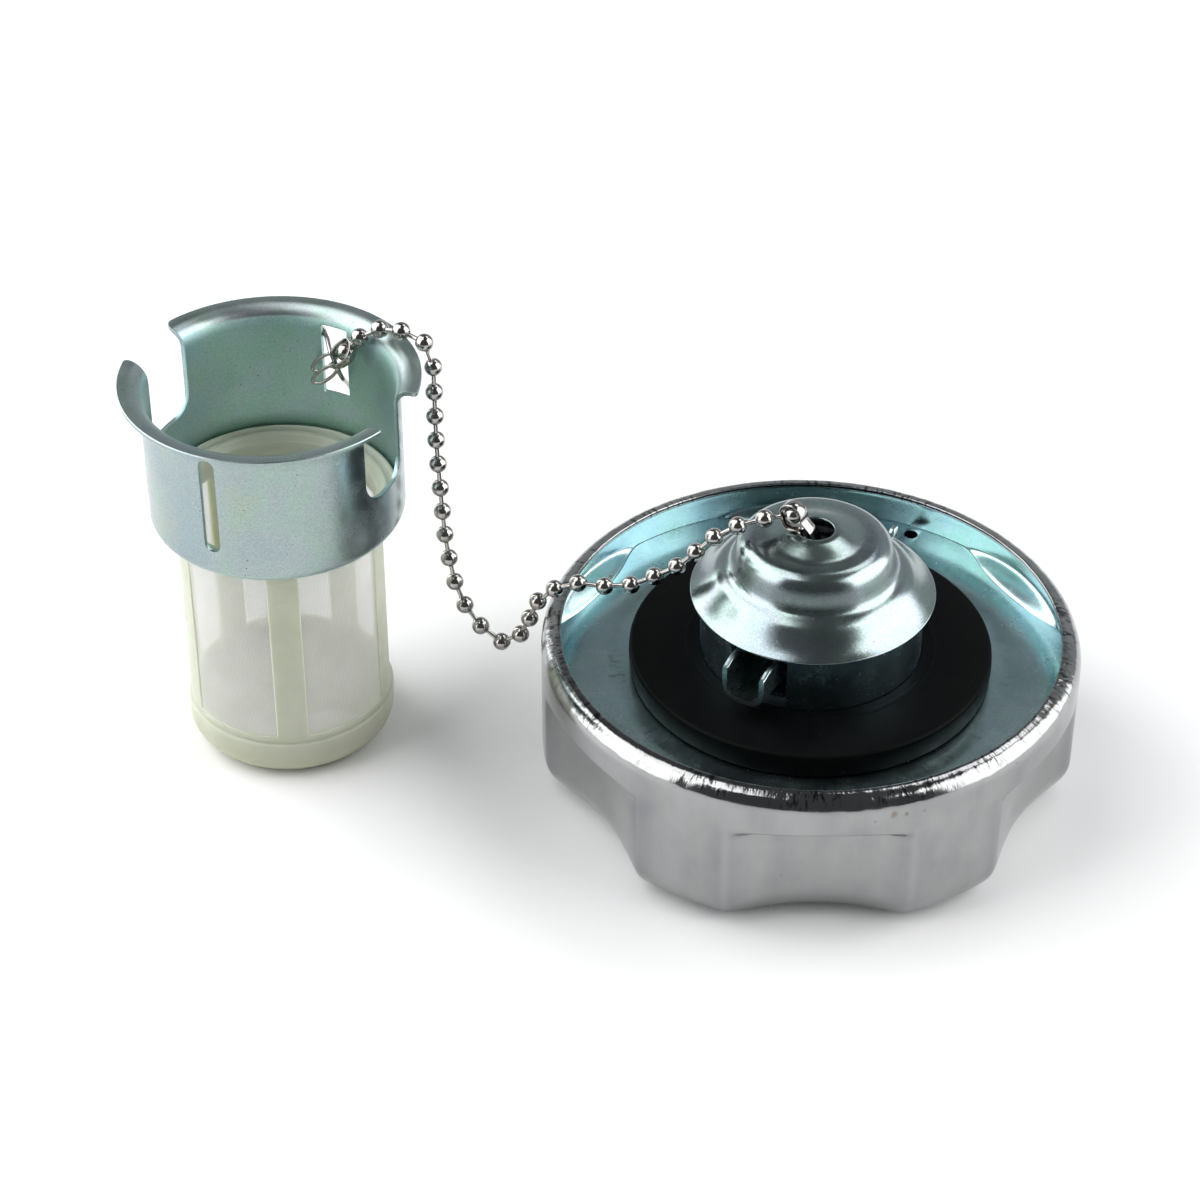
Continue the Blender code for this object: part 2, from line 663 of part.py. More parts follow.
def main():
    clear_scene()
    chrome = material("chrome_cover", (0.72, 0.71, 0.73), 0.22, 1.0)
    zinc = material("zinc_sheet", (0.50, 0.58, 0.60), 0.34, 1.0)
    bright_zinc = material("zinc_dome", (0.60, 0.67, 0.69), 0.24, 1.0)
    rubber = material("black_rubber", (0.03, 0.033, 0.035), 0.55, 0.0)
    nylon = material("cream_nylon", (0.80, 0.81, 0.68), 0.45, 0.0)
    mesh = material("screen_nylon", (0.90, 0.90, 0.86), 0.60, 0.0)
    nickel = material("nickel_chain", (0.62, 0.60, 0.58), 0.18, 1.0)
    foam = material("filter_foam", (0.16, 0.16, 0.15), 0.95, 0.0)
    spring = material("spring_wire", (0.42, 0.43, 0.45), 0.35, 1.0)

    build_cover(chrome)
    build_plate(zinc)
    build_filter_pad(foam)
    build_neck_cup(zinc)
    build_rivets(zinc)
    build_gasket(rubber)
    build_dome(bright_zinc)
    build_bar(bright_zinc)
    build_spring_seat(zinc)
    build_spring(spring)
    build_collar(zinc)
    build_basket(nylon)
    build_screens(mesh)
    build_toggle(nickel)
    build_collar_clasp(nickel)
    build_end_bead("end_bead_collar", COLLAR_END, nickel)
    build_dome_clasp(nickel)
    build_end_bead("end_bead_dome", DOME_END, nickel)
    build_pin(nickel)
    spacing = 2 * CHAIN_R * 1.7
    wire("bead_chain", smooth_points(CHAIN_ROUTE, spacing), CHAIN_R, nickel)


main()
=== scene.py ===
"""Looks for the vented bayonet filler cap, its neck collar with strainer, and the bead chain."""

import random
from math import cos, degrees, pi, radians, sin, sqrt, tan, tau

import bmesh
import bpy
from mathutils import Matrix, Vector, noise


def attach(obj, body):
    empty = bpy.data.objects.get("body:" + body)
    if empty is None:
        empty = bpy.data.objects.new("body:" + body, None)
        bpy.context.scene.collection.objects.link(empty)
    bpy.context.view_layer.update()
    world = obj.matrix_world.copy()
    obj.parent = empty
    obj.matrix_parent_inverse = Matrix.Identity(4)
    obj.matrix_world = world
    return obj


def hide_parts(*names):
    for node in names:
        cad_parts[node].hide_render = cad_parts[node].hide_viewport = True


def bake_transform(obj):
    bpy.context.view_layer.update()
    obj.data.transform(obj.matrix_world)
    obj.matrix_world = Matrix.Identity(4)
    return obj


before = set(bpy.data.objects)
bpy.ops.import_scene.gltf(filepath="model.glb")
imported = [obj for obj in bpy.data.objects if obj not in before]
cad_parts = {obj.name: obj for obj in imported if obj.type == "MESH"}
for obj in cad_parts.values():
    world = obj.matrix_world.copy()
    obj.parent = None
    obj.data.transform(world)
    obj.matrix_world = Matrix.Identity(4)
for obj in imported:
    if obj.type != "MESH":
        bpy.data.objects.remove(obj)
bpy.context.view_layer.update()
MM = 0.001
STRAINER = (-93.6, 0.0)  # upright axis of the collar and basket, mm
STRAINER_FOOT = (*STRAINER, 0.0)
FLUTE_AZ, FLUTE_HALF, FLUTE_STEP = -82.5, 19.3, 60.0  # a flute's middle, half width and spacing, degrees
FLUTE_DEPTH, FLUTE_TOP, CREASE_FALL = 5.2, 23.2, 1.4  # the crease over a flute falls towards its sides
BAR_AZ = -114.0  # direction of the locking bar's near end, degrees
NOTCH_AZ, SLOT_AZ, WINDOW_AZ = -17.6, -106.4, 71.4  # cuts in the collar, degrees
RIB_AZ, RIB_COUNT, RIB_WIDTH = -76.4, 5, 5.6
COVER_R = 47.0
PLATE_TOP, PLATE_LOW = 22.3, 21.3
RIVET_CIRCLE, RIVET_R = 11.5, 1.75
SCREEN_R, SCREEN_LOW, SCREEN_TALL = 17.86, 6.9, 39.6
XYZ = ((1, 0, 0), (0, 1, 0), (0, 0, 1))


# ---------- camera

def make_camera():
    data = bpy.data.cameras.new("view")
    data.sensor_width = 36.0
    data.lens = 97.05
    data.clip_start = 0.01
    data.clip_end = 50.0
    cam = bpy.data.objects.new("view", data)
    cam.location = (0.02502, -0.44695, 0.37404)
    cam.rotation_euler = (radians(52.854), 0.0, radians(7.91))
    bpy.context.scene.collection.objects.link(cam)
    bpy.context.scene.camera = cam


make_camera()


# ---------- mesh helpers

def add_mesh(name, verts, faces, look, body, smooth=True, sharp=None):
    """Object from points in mm, normals outward; it rides the body, where one is given."""
    mesh = bpy.data.meshes.new(name)
    mesh.from_pydata([Vector(v) * MM for v in verts], [], faces)
    bm = bmesh.new()
    bm.from_mesh(mesh)
    bmesh.ops.recalc_face_normals(bm, faces=bm.faces)
    bm.to_mesh(mesh)
    bm.free()
    for poly in mesh.polygons:
        poly.use_smooth = smooth
    if sharp:
        mesh.set_sharp_from_angle(angle=radians(sharp))
    if look:
        mesh.materials.append(look)
    ob = bpy.data.objects.new(name, mesh)
    bpy.context.scene.collection.objects.link(ob)
    if body:
        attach(ob, body)
    return ob


def stand_in(piece, node):
    """Puts the piece in the frame node's place by hiding that node."""
    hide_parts(node)
    return piece


def grid_faces(rows, size, loop=True, ring=True, base=0, turned=False):
    """Quads over rows of points; loop joins the last row to the first, ring closes each row."""
    faces = []
    for i in range(rows if loop else rows - 1):
        k = (i + 1) % rows
        for j in range(size if ring else size - 1):
            m = (j + 1) % size
            a, b, c, d = i * size + j, k * size + j, k * size + m, i * size + m
            if turned:
                b, d = d, b
            faces.append((base + a, base + b, base + c, base + d))
    return faces


def arc(cx, cy, radius, start, end, steps):
    """Points of a flat arc, its angles in degrees."""
    angles = [radians(start + (end - start) * i / steps) for i in range(steps + 1)]
    return [(cx + radius * cos(a), cy + radius * sin(a)) for a in angles]


def fillet(points, steps=3):
    """Closed outline of (x, y, corner radius) points, with its corners rounded."""
    out = []
    count = len(points)
    for i, (x, y, radius) in enumerate(points):
        p = Vector((x, y))
        to_a = Vector(points[i - 1][:2]) - p
        to_b = Vector(points[(i + 1) % count][:2]) - p
        angle = to_a.angle(to_b)
        if radius <= 0 or angle > 3.1:
            out.append((x, y))
            continue
        reach = min(radius / tan(angle / 2), to_a.length * 0.48, to_b.length * 0.48)
        bend = reach * tan(angle / 2)
        u, v = to_a.normalized(), to_b.normalized()
        centre = p + (u + v).normalized() * (bend / sin(angle / 2))
        first = p + u * reach - centre
        turn = pi - angle
        if u.x * v.y - u.y * v.x > 0:
            turn = -turn
        for k in range(steps + 1):
            t = turn * k / steps
            out.append((centre.x + first.x * cos(t) - first.y * sin(t),
                        centre.y + first.x * sin(t) + first.y * cos(t)))
    return out


def curve_through(points, per=6):
    """Catmull-Rom line through points of any dimension."""
    pts = [Vector(p) for p in points]
    pts = [pts[0] * 2 - pts[1]] + pts + [pts[-1] * 2 - pts[-2]]
    out = []
    for i in range(1, len(pts) - 2):
        a, b, c, d = pts[i - 1:i + 3]
        for j in range(per):
            t = j / per
            out.append(0.5 * (2 * b + (c - a) * t + (2 * a - 5 * b + 4 * c - d) * t * t
                              + (3 * b - a - 3 * c + d) * t ** 3))
    out.append(pts[-2])
    return out


def offset_line(line, distance):
    """Flat line moved sideways, to its right."""
    out = []
    for i, p in enumerate(line):
        run = Vector(line[min(i + 1, len(line) - 1)]) - Vector(line[max(i - 1, 0)])
        run.normalize()
        out.append((p[0] + run.y * distance, p[1] - run.x * distance))
    return out


def lathe(name, outline, look, body, centre=(0.0, 0.0), count=192, sharp=50):
    """Closed outline of (radius, height) points turned about an upright axis."""
    verts = []
    for i in range(count):
        a = tau * i / count
        verts += [(centre[0] + r * cos(a), centre[1] + r * sin(a), z) for r, z in outline]
    return add_mesh(name, verts, grid_faces(count, len(outline)), look, body, sharp=sharp)


def prism(outline, low, high, axes, origin=(0.0, 0.0, 0.0)):
    """Flat outline on the first two axes, drawn out along the third."""
    u, v, w = [Vector(a) for a in axes]
    o = Vector(origin)
    n = len(outline)
    verts = [o + u * p[0] + v * p[1] + w * low for p in outline]
    verts += [o + u * p[0] + v * p[1] + w * high for p in outline]
    faces = [list(range(n)), list(range(n, 2 * n))]
    faces += [(i, (i + 1) % n, (i + 1) % n + n, i + n) for i in range(n)]
    return verts, faces


def merged(parts):
    """Several bodies as one mesh's points and faces."""
    verts, faces = [], []
    for v, f in parts:
        base = len(verts)
        verts += list(v)
        faces += [[i + base for i in face] for face in f]
    return verts, faces


def carve(piece, tools, bevel, angle=35, sharp=35):
    """Cuts the tool solids out of the piece, eases its edges, and keeps the result as its mesh."""
    cutters = []
    for verts, faces in tools:
        tool = add_mesh("tool", verts, faces, None, None, smooth=False)
        cutters.append(tool)
        mod = piece.modifiers.new("cut", "BOOLEAN")
        mod.operation = "DIFFERENCE"
        mod.solver = "EXACT"
        mod.object = tool
    mod = piece.modifiers.new("ease", "BEVEL")
    mod.width = bevel * MM
    mod.segments = 2
    mod.limit_method = "ANGLE"
    mod.angle_limit = radians(angle)
    deps = bpy.context.evaluated_depsgraph_get()
    result = bpy.data.meshes.new_from_object(piece.evaluated_get(deps))
    piece.modifiers.clear()
    for poly in result.polygons:
        poly.use_smooth = True
    result.set_sharp_from_angle(angle=radians(sharp))
    piece.data = result
    for tool in cutters:
        bpy.data.objects.remove(tool)


def radial_axes(azimuth):
    """Sideways, up and outward directions at an azimuth in degrees."""
    a = radians(azimuth)
    return (-sin(a), cos(a), 0.0), (0.0, 0.0, 1.0), (cos(a), sin(a), 0.0)


def slot_outline(width, low, high, corner, top=0.0, steps=8):
    """Upright slot with rounded lower corners, and rounded upper ones where top is given."""
    half = width / 2
    out = arc(half - corner, low + corner, corner, 0, -90, steps)
    out += arc(-half + corner, low + corner, corner, -90, -180, steps)
    if top > 0:
        out += arc(-half + top, high - top, top, 180, 90, steps)
        out += arc(half - top, high - top, top, 90, 0, steps)
    else:
        out += [(-half, high), (half, high)]
    return out


def tube_data(points, radius, sides=12):
    """Round bar along a line; its radius is a number, or a function of the share of the way."""
    pts = [Vector(p) for p in points]
    last = len(pts) - 1
    verts = []
    normal = (pts[1] - pts[0]).normalized().orthogonal().normalized()
    for i, p in enumerate(pts):
        run = (pts[min(i + 1, last)] - pts[max(i - 1, 0)]).normalized()
        normal = (normal - run * normal.dot(run)).normalized()
        other = run.cross(normal)
        r = radius(i / last) if callable(radius) else radius
        for k in range(sides):
            a = tau * k / sides
            verts.append(p + (normal * cos(a) + other * sin(a)) * r)
    faces = grid_faces(len(pts), sides, loop=False, turned=True)
    faces += [tuple(range(sides)), tuple(range(last * sides, len(pts) * sides))]
    return verts, faces


# ---------- material helpers

class Look:
    """One procedural material; its methods add nodes and return their outputs."""

    def __init__(self, name, color, rough, metal, **extra):
        self.mat = bpy.data.materials.new(name)
        self.mat.use_nodes = True
        self.tree = self.mat.node_tree
        self.shader = self.tree.nodes["Principled BSDF"]
        self.set("Base Color", (*color, 1.0))
        self.set("Roughness", rough)
        self.set("Metallic", metal)
        for key, value in extra.items():
            self.set(key.replace("_", " "), value)
        self.place = self.node("TexCoord").outputs["Object"]

    def set(self, key, value):
        socket = self.shader.inputs[key]
        if isinstance(value, bpy.types.NodeSocket):
            self.tree.links.new(value, socket)
        else:
            socket.default_value = value

    def node(self, kind, props=None, **inputs):
        made = self.tree.nodes.new("ShaderNode" + kind)
        for key, value in (props or {}).items():
            setattr(made, key, value)
        for key, value in inputs.items():
            self.feed(made, key.replace("_", " "), value)
        return made

    def feed(self, made, key, value):
        socket = made.inputs[int(key[1:])] if key[0] == "i" and key[1:].isdigit() else made.inputs[key]
        if isinstance(value, bpy.types.NodeSocket):
            self.tree.links.new(value, socket)
        else:
            socket.default_value = value

    def about(self, x, y):
        """Coordinates measured from an upright axis at x, y in mm."""
        return self.node("VectorMath", {"operation": "SUBTRACT"},
                         i0=self.place, i1=(x * MM, y * MM, 0.0)).outputs[0]

    def stretched(self, scale, where=None):
        """Coordinates scaled along each axis."""
        return self.node("Mapping", Vector=where or self.place, Scale=scale).outputs[0]

    def joined(self, x, y, z=0.0):
        return self.node("CombineXYZ", X=x, Y=y, Z=z).outputs[0]

    def noise(self, size, detail=4.0, rough=0.55, where=None, distortion=0.0):
        return self.node("TexNoise", Vector=where or self.place, Scale=1.0 / (size * MM),
                         Detail=detail, Roughness=rough, Distortion=distortion).outputs[0]

    def cells(self, size, where=None):
        """Distance to the nearest of scattered points, size mm apart, as a share of that size."""
        return self.node("TexVoronoi", Vector=where or self.place,
                         Scale=1.0 / (size * MM)).outputs["Distance"]

    def calc(self, op, a, b=0.0, c=0.0):
        return self.node("Math", {"operation": op}, i0=a, i1=b, i2=c).outputs[0]

    def times(self, a, b):
        return self.calc("MULTIPLY", a, b)

    def span(self, value, low, high, to_low=0.0, to_high=1.0):
        """The value's place between low and high, held to that range."""
        return self.node("MapRange", Value=value, From_Min=low, From_Max=high,
                         To_Min=to_low, To_Max=to_high).outputs[0]

    def ramp(self, value, stops):
        made = self.node("ValToRGB", Fac=value)
        band = made.color_ramp
        while len(band.elements) < len(stops):
            band.elements.new(0.5)
        for element, (at, color) in zip(band.elements, stops):
            element.position = at
            element.color = (*color, 1.0)
        return made.outputs["Color"]

    def blend(self, share, a, b, mode="MIX"):
        made = self.node("Mix", {"data_type": "RGBA", "blend_type": mode})
        self.feed(made, "i0", share)
        for key, value in (("i6", a), ("i7", b)):
            if not isinstance(value, bpy.types.NodeSocket):
                value = (*value, 1.0)
            self.feed(made, key, value)
        return made.outputs[2]

    def bump(self, height, distance, strength=1.0, base=None):
        made = self.node("Bump", Height=height, Distance=distance * MM, Strength=strength)
        if base:
            self.feed(made, "Normal", base)
        return made.outputs[0]

    def polar(self, where):
        """Angle in turns, radius and height in metres about the upright axis."""
        x, y, z = self.node("SeparateXYZ", Vector=where).outputs
        radius = self.node("VectorMath", {"operation": "LENGTH"}, i0=self.joined(x, y)).outputs["Value"]
        return self.calc("DIVIDE", self.calc("ARCTAN2", y, x), tau), radius, z

    def stains(self, base, spots, size, ragged, outer, inner, share, color):
        """Ragged stains about points in mm; outer and inner are the soft edge, in stain radii."""
        for x, y, z, radius in spots:
            gap = self.node("VectorMath", {"operation": "DISTANCE"}, i0=self.place,
                            i1=(x * MM, y * MM, z * MM)).outputs["Value"]
            edge = self.calc("MULTIPLY_ADD", self.noise(size, 3.0, 0.6), radius * MM * ragged, gap)
            cover = self.span(edge, radius * MM * outer, radius * MM * inner, 0.0, share)
            base = self.blend(cover, base, color)
        return base


def zinc_look(name, color, rough, axis=(0.0, 0.0), stain=0.5, tint=0.5, grain=1.0, spots=(), bore=None,
              ticks=False, matt_and_shaded_band=None):
    """Passivated zinc plate: cloudy blue and green tints, fine grain, pits and tea-coloured specks.

    bore greens, lightens and dulls the surface inside that radius, the greener, lighter tint being painted
    bounce light from the walls around it; ticks adds a ring of tool marks; and the band between two heights is
    made matt and darkened as painted shade, for the dark reflection on the dome's upright wall; all are in mm.
    """
    look = Look(name, color, rough, 1.0)
    here = look.about(*axis)
    turn, radius, height = look.polar(here)
    c = Vector(color)
    cool = tuple(c * 0.92 + Vector((-0.02, 0.01, 0.035)) * tint)
    lilac = tuple(c * 1.03 + Vector((0.025, -0.012, 0.025)) * tint)
    green = tuple(c * 0.98 + Vector((-0.01, 0.035, -0.015)) * tint)
    base = look.ramp(look.noise(14.0, 3.0, 0.5, here), [(0.30, cool), (0.48, color), (0.58, green), (0.72, lilac)])
    warm = look.noise(9.0, 4.0, 0.6, look.stretched((1.0, 1.0, 0.6), here), distortion=0.6)
    base = look.blend(look.span(warm, 0.60, 0.74, 0.0, 0.35 * stain), base, (c.x * 1.12, c.y * 1.03, c.z * 0.80))
    speck = look.cells(1.5, look.stretched((1.0, 1.0, 1.3), here))
    mark = look.times(look.span(speck, 0.13, 0.05), look.span(look.noise(6.0, 2.0, 0.5, here), 0.54, 0.62))
    base = look.blend(look.times(mark, 0.75 * stain), base, (0.13, 0.09, 0.04))
    fine = look.span(look.noise(0.35, 2.0, 0.6, here), 0.35, 0.65, min(0.4, 0.10 + 0.06 * grain), 0.0)
    base = look.blend(fine, base, (0.08, 0.10, 0.10))
    base = look.stains(base, spots, 1.6, 0.9, 1.25, 0.75, 0.8, (0.16, 0.10, 0.05))
    smear = look.span(look.noise(5.0, 4.0, 0.6, here), 0.3, 0.7, rough * 0.82, rough * 1.2)
    dull = look.calc("ADD", smear, look.times(mark, 0.25))
    if bore:
        inside = look.span(radius, (bore + 0.1) * MM, (bore - 0.1) * MM)
        dull = look.calc("MULTIPLY_ADD", inside, 0.20, dull)
        dull = look.calc("MULTIPLY_ADD", look.span(height, 69.0 * MM, 70.5 * MM), 0.10, dull)
        # painted bounce light: inside the bore the colour is made greener and lighter, for light bounced between the
        # inner walls
        base = look.blend(inside, base, look.blend(1.0, base, (1.10, 1.30, 1.28), "MULTIPLY"))
    if matt_and_shaded_band:
        low, high = matt_and_shaded_band
        band = look.times(look.span(height, low * MM, (low + 0.5) * MM),
                          look.span(height, high * MM, (high - 0.7) * MM))
        band = look.times(band, look.span(look.noise(2.5, 4.0, 0.6, here), 0.3, 0.7, 0.75, 1.0))
        # painted shade: the band between the two heights is darkened, standing in for the dark reflection on the dome's
        # upright wall
        base = look.blend(band, base, look.blend(1.0, base, (0.56, 0.57, 0.57), "MULTIPLY"))
        dull = look.calc("MULTIPLY_ADD", band, 0.10, dull)
    if ticks:
        lines = look.noise(0.5, 3.0, 0.7, look.joined(look.times(turn, 0.11), look.times(radius, 0.12)))
        ring = look.times(look.span(radius, 32.2 * MM, 32.7 * MM), look.span(radius, 35.6 * MM, 35.0 * MM))
        ring = look.times(ring, look.span(height, (PLATE_TOP - 0.2) * MM, (PLATE_TOP - 0.1) * MM))
        ring = look.times(ring, look.span(look.noise(24.0, 2.0, 0.5, here), 0.42, 0.56))
        base = look.blend(look.times(look.span(lines, 0.50, 0.62), look.times(ring, 0.55)), base, (0.14, 0.19, 0.20))
    look.set("Base Color", base)
    look.set("Roughness", dull)
    broad = look.bump(look.noise(3.2, 3.0, 0.5, here), 0.03 * grain, 0.30)
    look.set("Normal", look.bump(look.noise(0.28, 3.0, 0.6, here), 0.012 * grain, 0.45, broad))
    return look


def chrome_look():
    """Satin chrome cover: faint upright drawing streaks, forming chatter on the rim, a few tea stains, painted dark
    reflections on the rim and a painted shade line along each flute's crease.
    """
    look = Look("chrome_cover", (0.31, 0.31, 0.315), 0.16, 1.0)
    turn, radius, height = look.polar(look.place)
    clouds = look.noise(10.0, 4.0, 0.55, look.stretched((1.0, 1.0, 0.6)))
    base = look.ramp(clouds, [(0.28, (0.272, 0.272, 0.290)), (0.48, (0.332, 0.338, 0.335)),
                              (0.72, (0.39, 0.387, 0.402))])
    streak = look.noise(0.55, 4.0, 0.65, look.joined(look.times(turn, 0.29), look.times(height, 0.06)))
    base = look.blend(look.span(streak, 0.58, 0.75, 0.0, 0.16), base, (0.20, 0.19, 0.21))
    mark = look.times(look.span(look.cells(4.3), 0.10, 0.03), look.span(look.noise(12.0, 2.0, 0.5), 0.56, 0.64))
    base = look.blend(look.times(mark, 0.8), base, (0.11, 0.075, 0.05))
    tea = ((17.6, -43.6, 26.6, 0.9), (19.6, -42.8, 26.2, 0.6), (22.5, -41.4, 26.0, 0.5), (14.6, -44.8, 25.6, 0.4))
    base = look.stains(base, tea, 0.9, 1.2, 1.5, 0.7, 0.55, (0.17, 0.10, 0.05))

    # painted dark reflections: dark speckled patches on the rolled rim, which also gets a chatter bump
    on_rim = look.times(look.span(height, 27.8 * MM, 29.2 * MM), look.span(radius, 42.8 * MM, 43.6 * MM))
    around = look.joined(look.times(turn, 0.285), look.times(radius, 0.35), look.times(height, 0.35))
    chatter = look.noise(1.3, 4.0, 0.62, around)
    rim_dark_reflection = look.times(look.span(look.noise(0.8, 3.0, 0.6, around), 0.54, 0.60),
                      look.span(look.noise(9.0, 2.0, 0.5), 0.42, 0.56))
    base = look.blend(look.times(on_rim, look.times(rim_dark_reflection, 0.8)), base, (0.03, 0.03, 0.03))

    # light and dark lines beside each flute
    half_step = FLUTE_STEP / 2
    away = look.calc("PINGPONG", look.calc("ADD", turn, (half_step - FLUTE_AZ) / 360.0), FLUTE_STEP / 720.0)
    away = look.calc("SUBTRACT", half_step, look.times(away, 360.0))
    beside = look.calc("ABSOLUTE", look.calc("SUBTRACT", away, FLUTE_HALF + 0.3))
    low = look.span(height, 22.8 * MM, 20.5 * MM)
    base = look.blend(look.times(low, look.span(beside, 1.3, 0.2, 0.0, 0.26)), base, (0.52, 0.52, 0.54))
    base = look.blend(look.times(low, look.span(beside, 5.5, 1.0, 0.0, 0.22)), base, (0.17, 0.17, 0.19))

    # painted shade: a dark line along the crease over each flute, where the shoulder above the flute is in shade
    share = look.calc("DIVIDE", away, FLUTE_HALF)
    crease = look.calc("SUBTRACT", (FLUTE_TOP - 0.6) * MM, look.times(look.times(share, share), CREASE_FALL * MM))
    near = look.calc("SUBTRACT", height, crease)
    line = look.times(look.span(near, -1.1 * MM, 0.2 * MM), look.span(near, 0.6 * MM, 0.2 * MM))
    line = look.times(line, look.span(look.calc("ABSOLUTE", share), 0.95, 0.78))
    line = look.times(line, look.span(radius, 46.5 * MM, 46.2 * MM, 0.35, 1.0))
    base = look.blend(look.times(line, 0.55), base, (0.06, 0.06, 0.07))
    look.set("Base Color", base)

    rough = look.calc("ADD", look.span(look.noise(6.0, 4.0, 0.6), 0.3, 0.7, 0.12, 0.22), look.times(mark, 0.3))
    look.set("Roughness", look.calc("MULTIPLY_ADD", on_rim, -0.06, rough))
    skin = look.bump(look.noise(7.0, 2.0, 0.5), 0.10, 0.30)
    skin = look.bump(streak, 0.010, 0.35, skin)
    skin = look.bump(look.times(chatter, on_rim), 0.10, 0.8, skin)
    look.set("Normal", look.bump(look.noise(0.22, 2.0, 0.6), 0.006, 0.35, skin))
    return look


def rubber_look():
    """Black rubber with faint turned rings, uneven gloss and a little lint."""
    look = Look("black_rubber", (0.006, 0.0065, 0.007), 0.5, 0.0, Specular_IOR_Level=0.05)
    radius = look.polar(look.place)[1]
    cloud = look.ramp(look.noise(8.0, 4.0, 0.6), [(0.3, (0.0014, 0.0016, 0.0018)), (0.7, (0.003, 0.0032, 0.0034))])
    lint = look.times(look.span(look.cells(2.3), 0.07, 0.02), look.span(look.noise(5.0, 2.0), 0.55, 0.62))
    look.set("Base Color", look.blend(look.times(lint, 0.6), cloud, (0.12, 0.12, 0.11)))
    look.set("Roughness", look.span(look.noise(4.0, 4.0, 0.65), 0.3, 0.7, 0.36, 0.52))
    rings = look.bump(look.noise(0.5, 2.0, 0.5, look.joined(radius, 0.0)), 0.02, 0.25)
    look.set("Normal", look.bump(look.noise(0.3, 3.0, 0.6), 0.02, 0.35, rings))
    return look


def nylon_look():
    """Cream moulded nylon that lets light through, with flow clouds, a yellower foot and a soft skin."""
    look = Look("cream_nylon", (0.40, 0.42, 0.34), 0.38, 0.0, Subsurface_Weight=1.0, Subsurface_Scale=0.0016,
                Subsurface_Radius=(1.0, 1.0, 0.75), Specular_IOR_Level=0.45, IOR=1.5)
    height = look.polar(look.about(*STRAINER))[2]
    clouds = look.noise(9.0, 4.0, 0.6)
    base = look.ramp(clouds, [(0.3, (0.46, 0.485, 0.395)), (0.52, (0.50, 0.52, 0.43)), (0.72, (0.54, 0.55, 0.47))])
    look.set("Base Color", look.blend(look.span(height, 9.0 * MM, 0.0, 0.0, 0.65), base, (0.38, 0.39, 0.23)))
    look.set("Roughness", look.span(look.noise(3.0, 3.0, 0.6), 0.3, 0.7, 0.32, 0.5))
    flow = look.bump(look.noise(2.4, 3.0, 0.5), 0.03, 0.3)
    look.set("Normal", look.bump(look.noise(0.2, 2.0, 0.6), 0.008, 0.3, flow))
    return look


def mesh_look(name, floor=False):
    """Fine woven screen: threads crossing at a quarter of a millimetre, open between."""
    look = Look(name, (0.54, 0.53, 0.51), 0.45, 0.0, Subsurface_Weight=0.0, Specular_IOR_Level=0.4)
    pitch = 0.26 * MM
    if floor:
        one, two = look.node("SeparateXYZ", Vector=look.place).outputs[:2]
    else:
        turn, _, two = look.polar(look.about(*STRAINER))
        one = look.times(turn, tau * 17.6 * MM)
    threads = [look.span(look.calc("SINE", look.times(value, tau / pitch)), -0.5, 0.6) for value in (one, two)]
    weave = look.calc("MAXIMUM", *threads)
    cloud = look.noise(8.0, 4.0, 0.6)
    look.set("Base Color", look.ramp(cloud, [(0.3, (0.70, 0.70, 0.66)), (0.7, (0.75, 0.75, 0.71))]))
    look.set("Alpha", look.times(look.span(weave, 0.0, 1.0, 0.46, 0.72), look.span(cloud, 0.3, 0.7, 0.94, 1.0)))
    look.set("Roughness", look.span(cloud, 0.3, 0.7, 0.40, 0.55))
    look.set("Normal", look.bump(weave, 0.02, 0.3))
    look.mat.surface_render_method = "BLENDED"
    return look


def nickel_look():
    """Bright nickel plate with small tarnished pits."""
    look = Look("nickel", (0.42, 0.405, 0.39), 0.10, 1.0)
    base = look.ramp(look.noise(1.3, 3.0, 0.6), [(0.3, (0.35, 0.335, 0.315)), (0.6, (0.43, 0.415, 0.40)),
                                                 (0.8, (0.48, 0.47, 0.46))])
    mark = look.times(look.span(look.cells(0.55), 0.12, 0.04), look.span(look.noise(1.5, 2.0), 0.55, 0.65))
    look.set("Base Color", look.blend(look.times(mark, 0.6), base, (0.18, 0.15, 0.12)))
    look.set("Roughness", look.span(look.noise(0.9, 4.0, 0.6), 0.3, 0.7, 0.07, 0.17))
    look.set("Normal", look.bump(look.noise(0.8, 3.0, 0.6), 0.02, 0.3))
    return look


def plain_look(name, color, rough, metal, size, depth):
    """Hidden pieces: mottled colour, roughness and a grain of their own."""
    look = Look(name, color, rough, metal)
    c = Vector(color)
    look.set("Base Color", look.ramp(look.noise(size * 4, 4.0, 0.6), [(0.3, tuple(c * 0.75)), (0.7, tuple(c * 1.2))]))
    look.set("Roughness", look.span(look.noise(size * 3, 3.0, 0.6), 0.3, 0.7, rough * 0.85, min(1.0, rough * 1.15)))
    look.set("Normal", look.bump(look.noise(size, 4.0, 0.65), depth, 0.6))
    return look


chrome = chrome_look()
inside_zinc = zinc_look("zinc_plate", (0.45, 0.60, 0.63), 0.24, stain=0.5, tint=0.9, ticks=True,
                        spots=((-42.6, -11.0, 23.0, 0.8), (-39.0, -19.5, 22.4, 0.5), (-38.0, 20.0, 22.4, 0.5)))
neck_zinc = zinc_look("zinc_neck", (0.46, 0.63, 0.70), 0.25, stain=0.1, tint=0.8, grain=0.8)
# the dome's upright wall band, 44.2 to 48.3 mm up, is made matt and gets painted shade
dome_zinc = zinc_look("zinc_dome", (0.325, 0.376, 0.398), 0.20, stain=0.35, tint=0.9, grain=2.3, matt_and_shaded_band=(44.2, 48.3))
bar_zinc = zinc_look("zinc_bar", (0.45, 0.55, 0.55), 0.26, stain=0.3, tint=0.6)
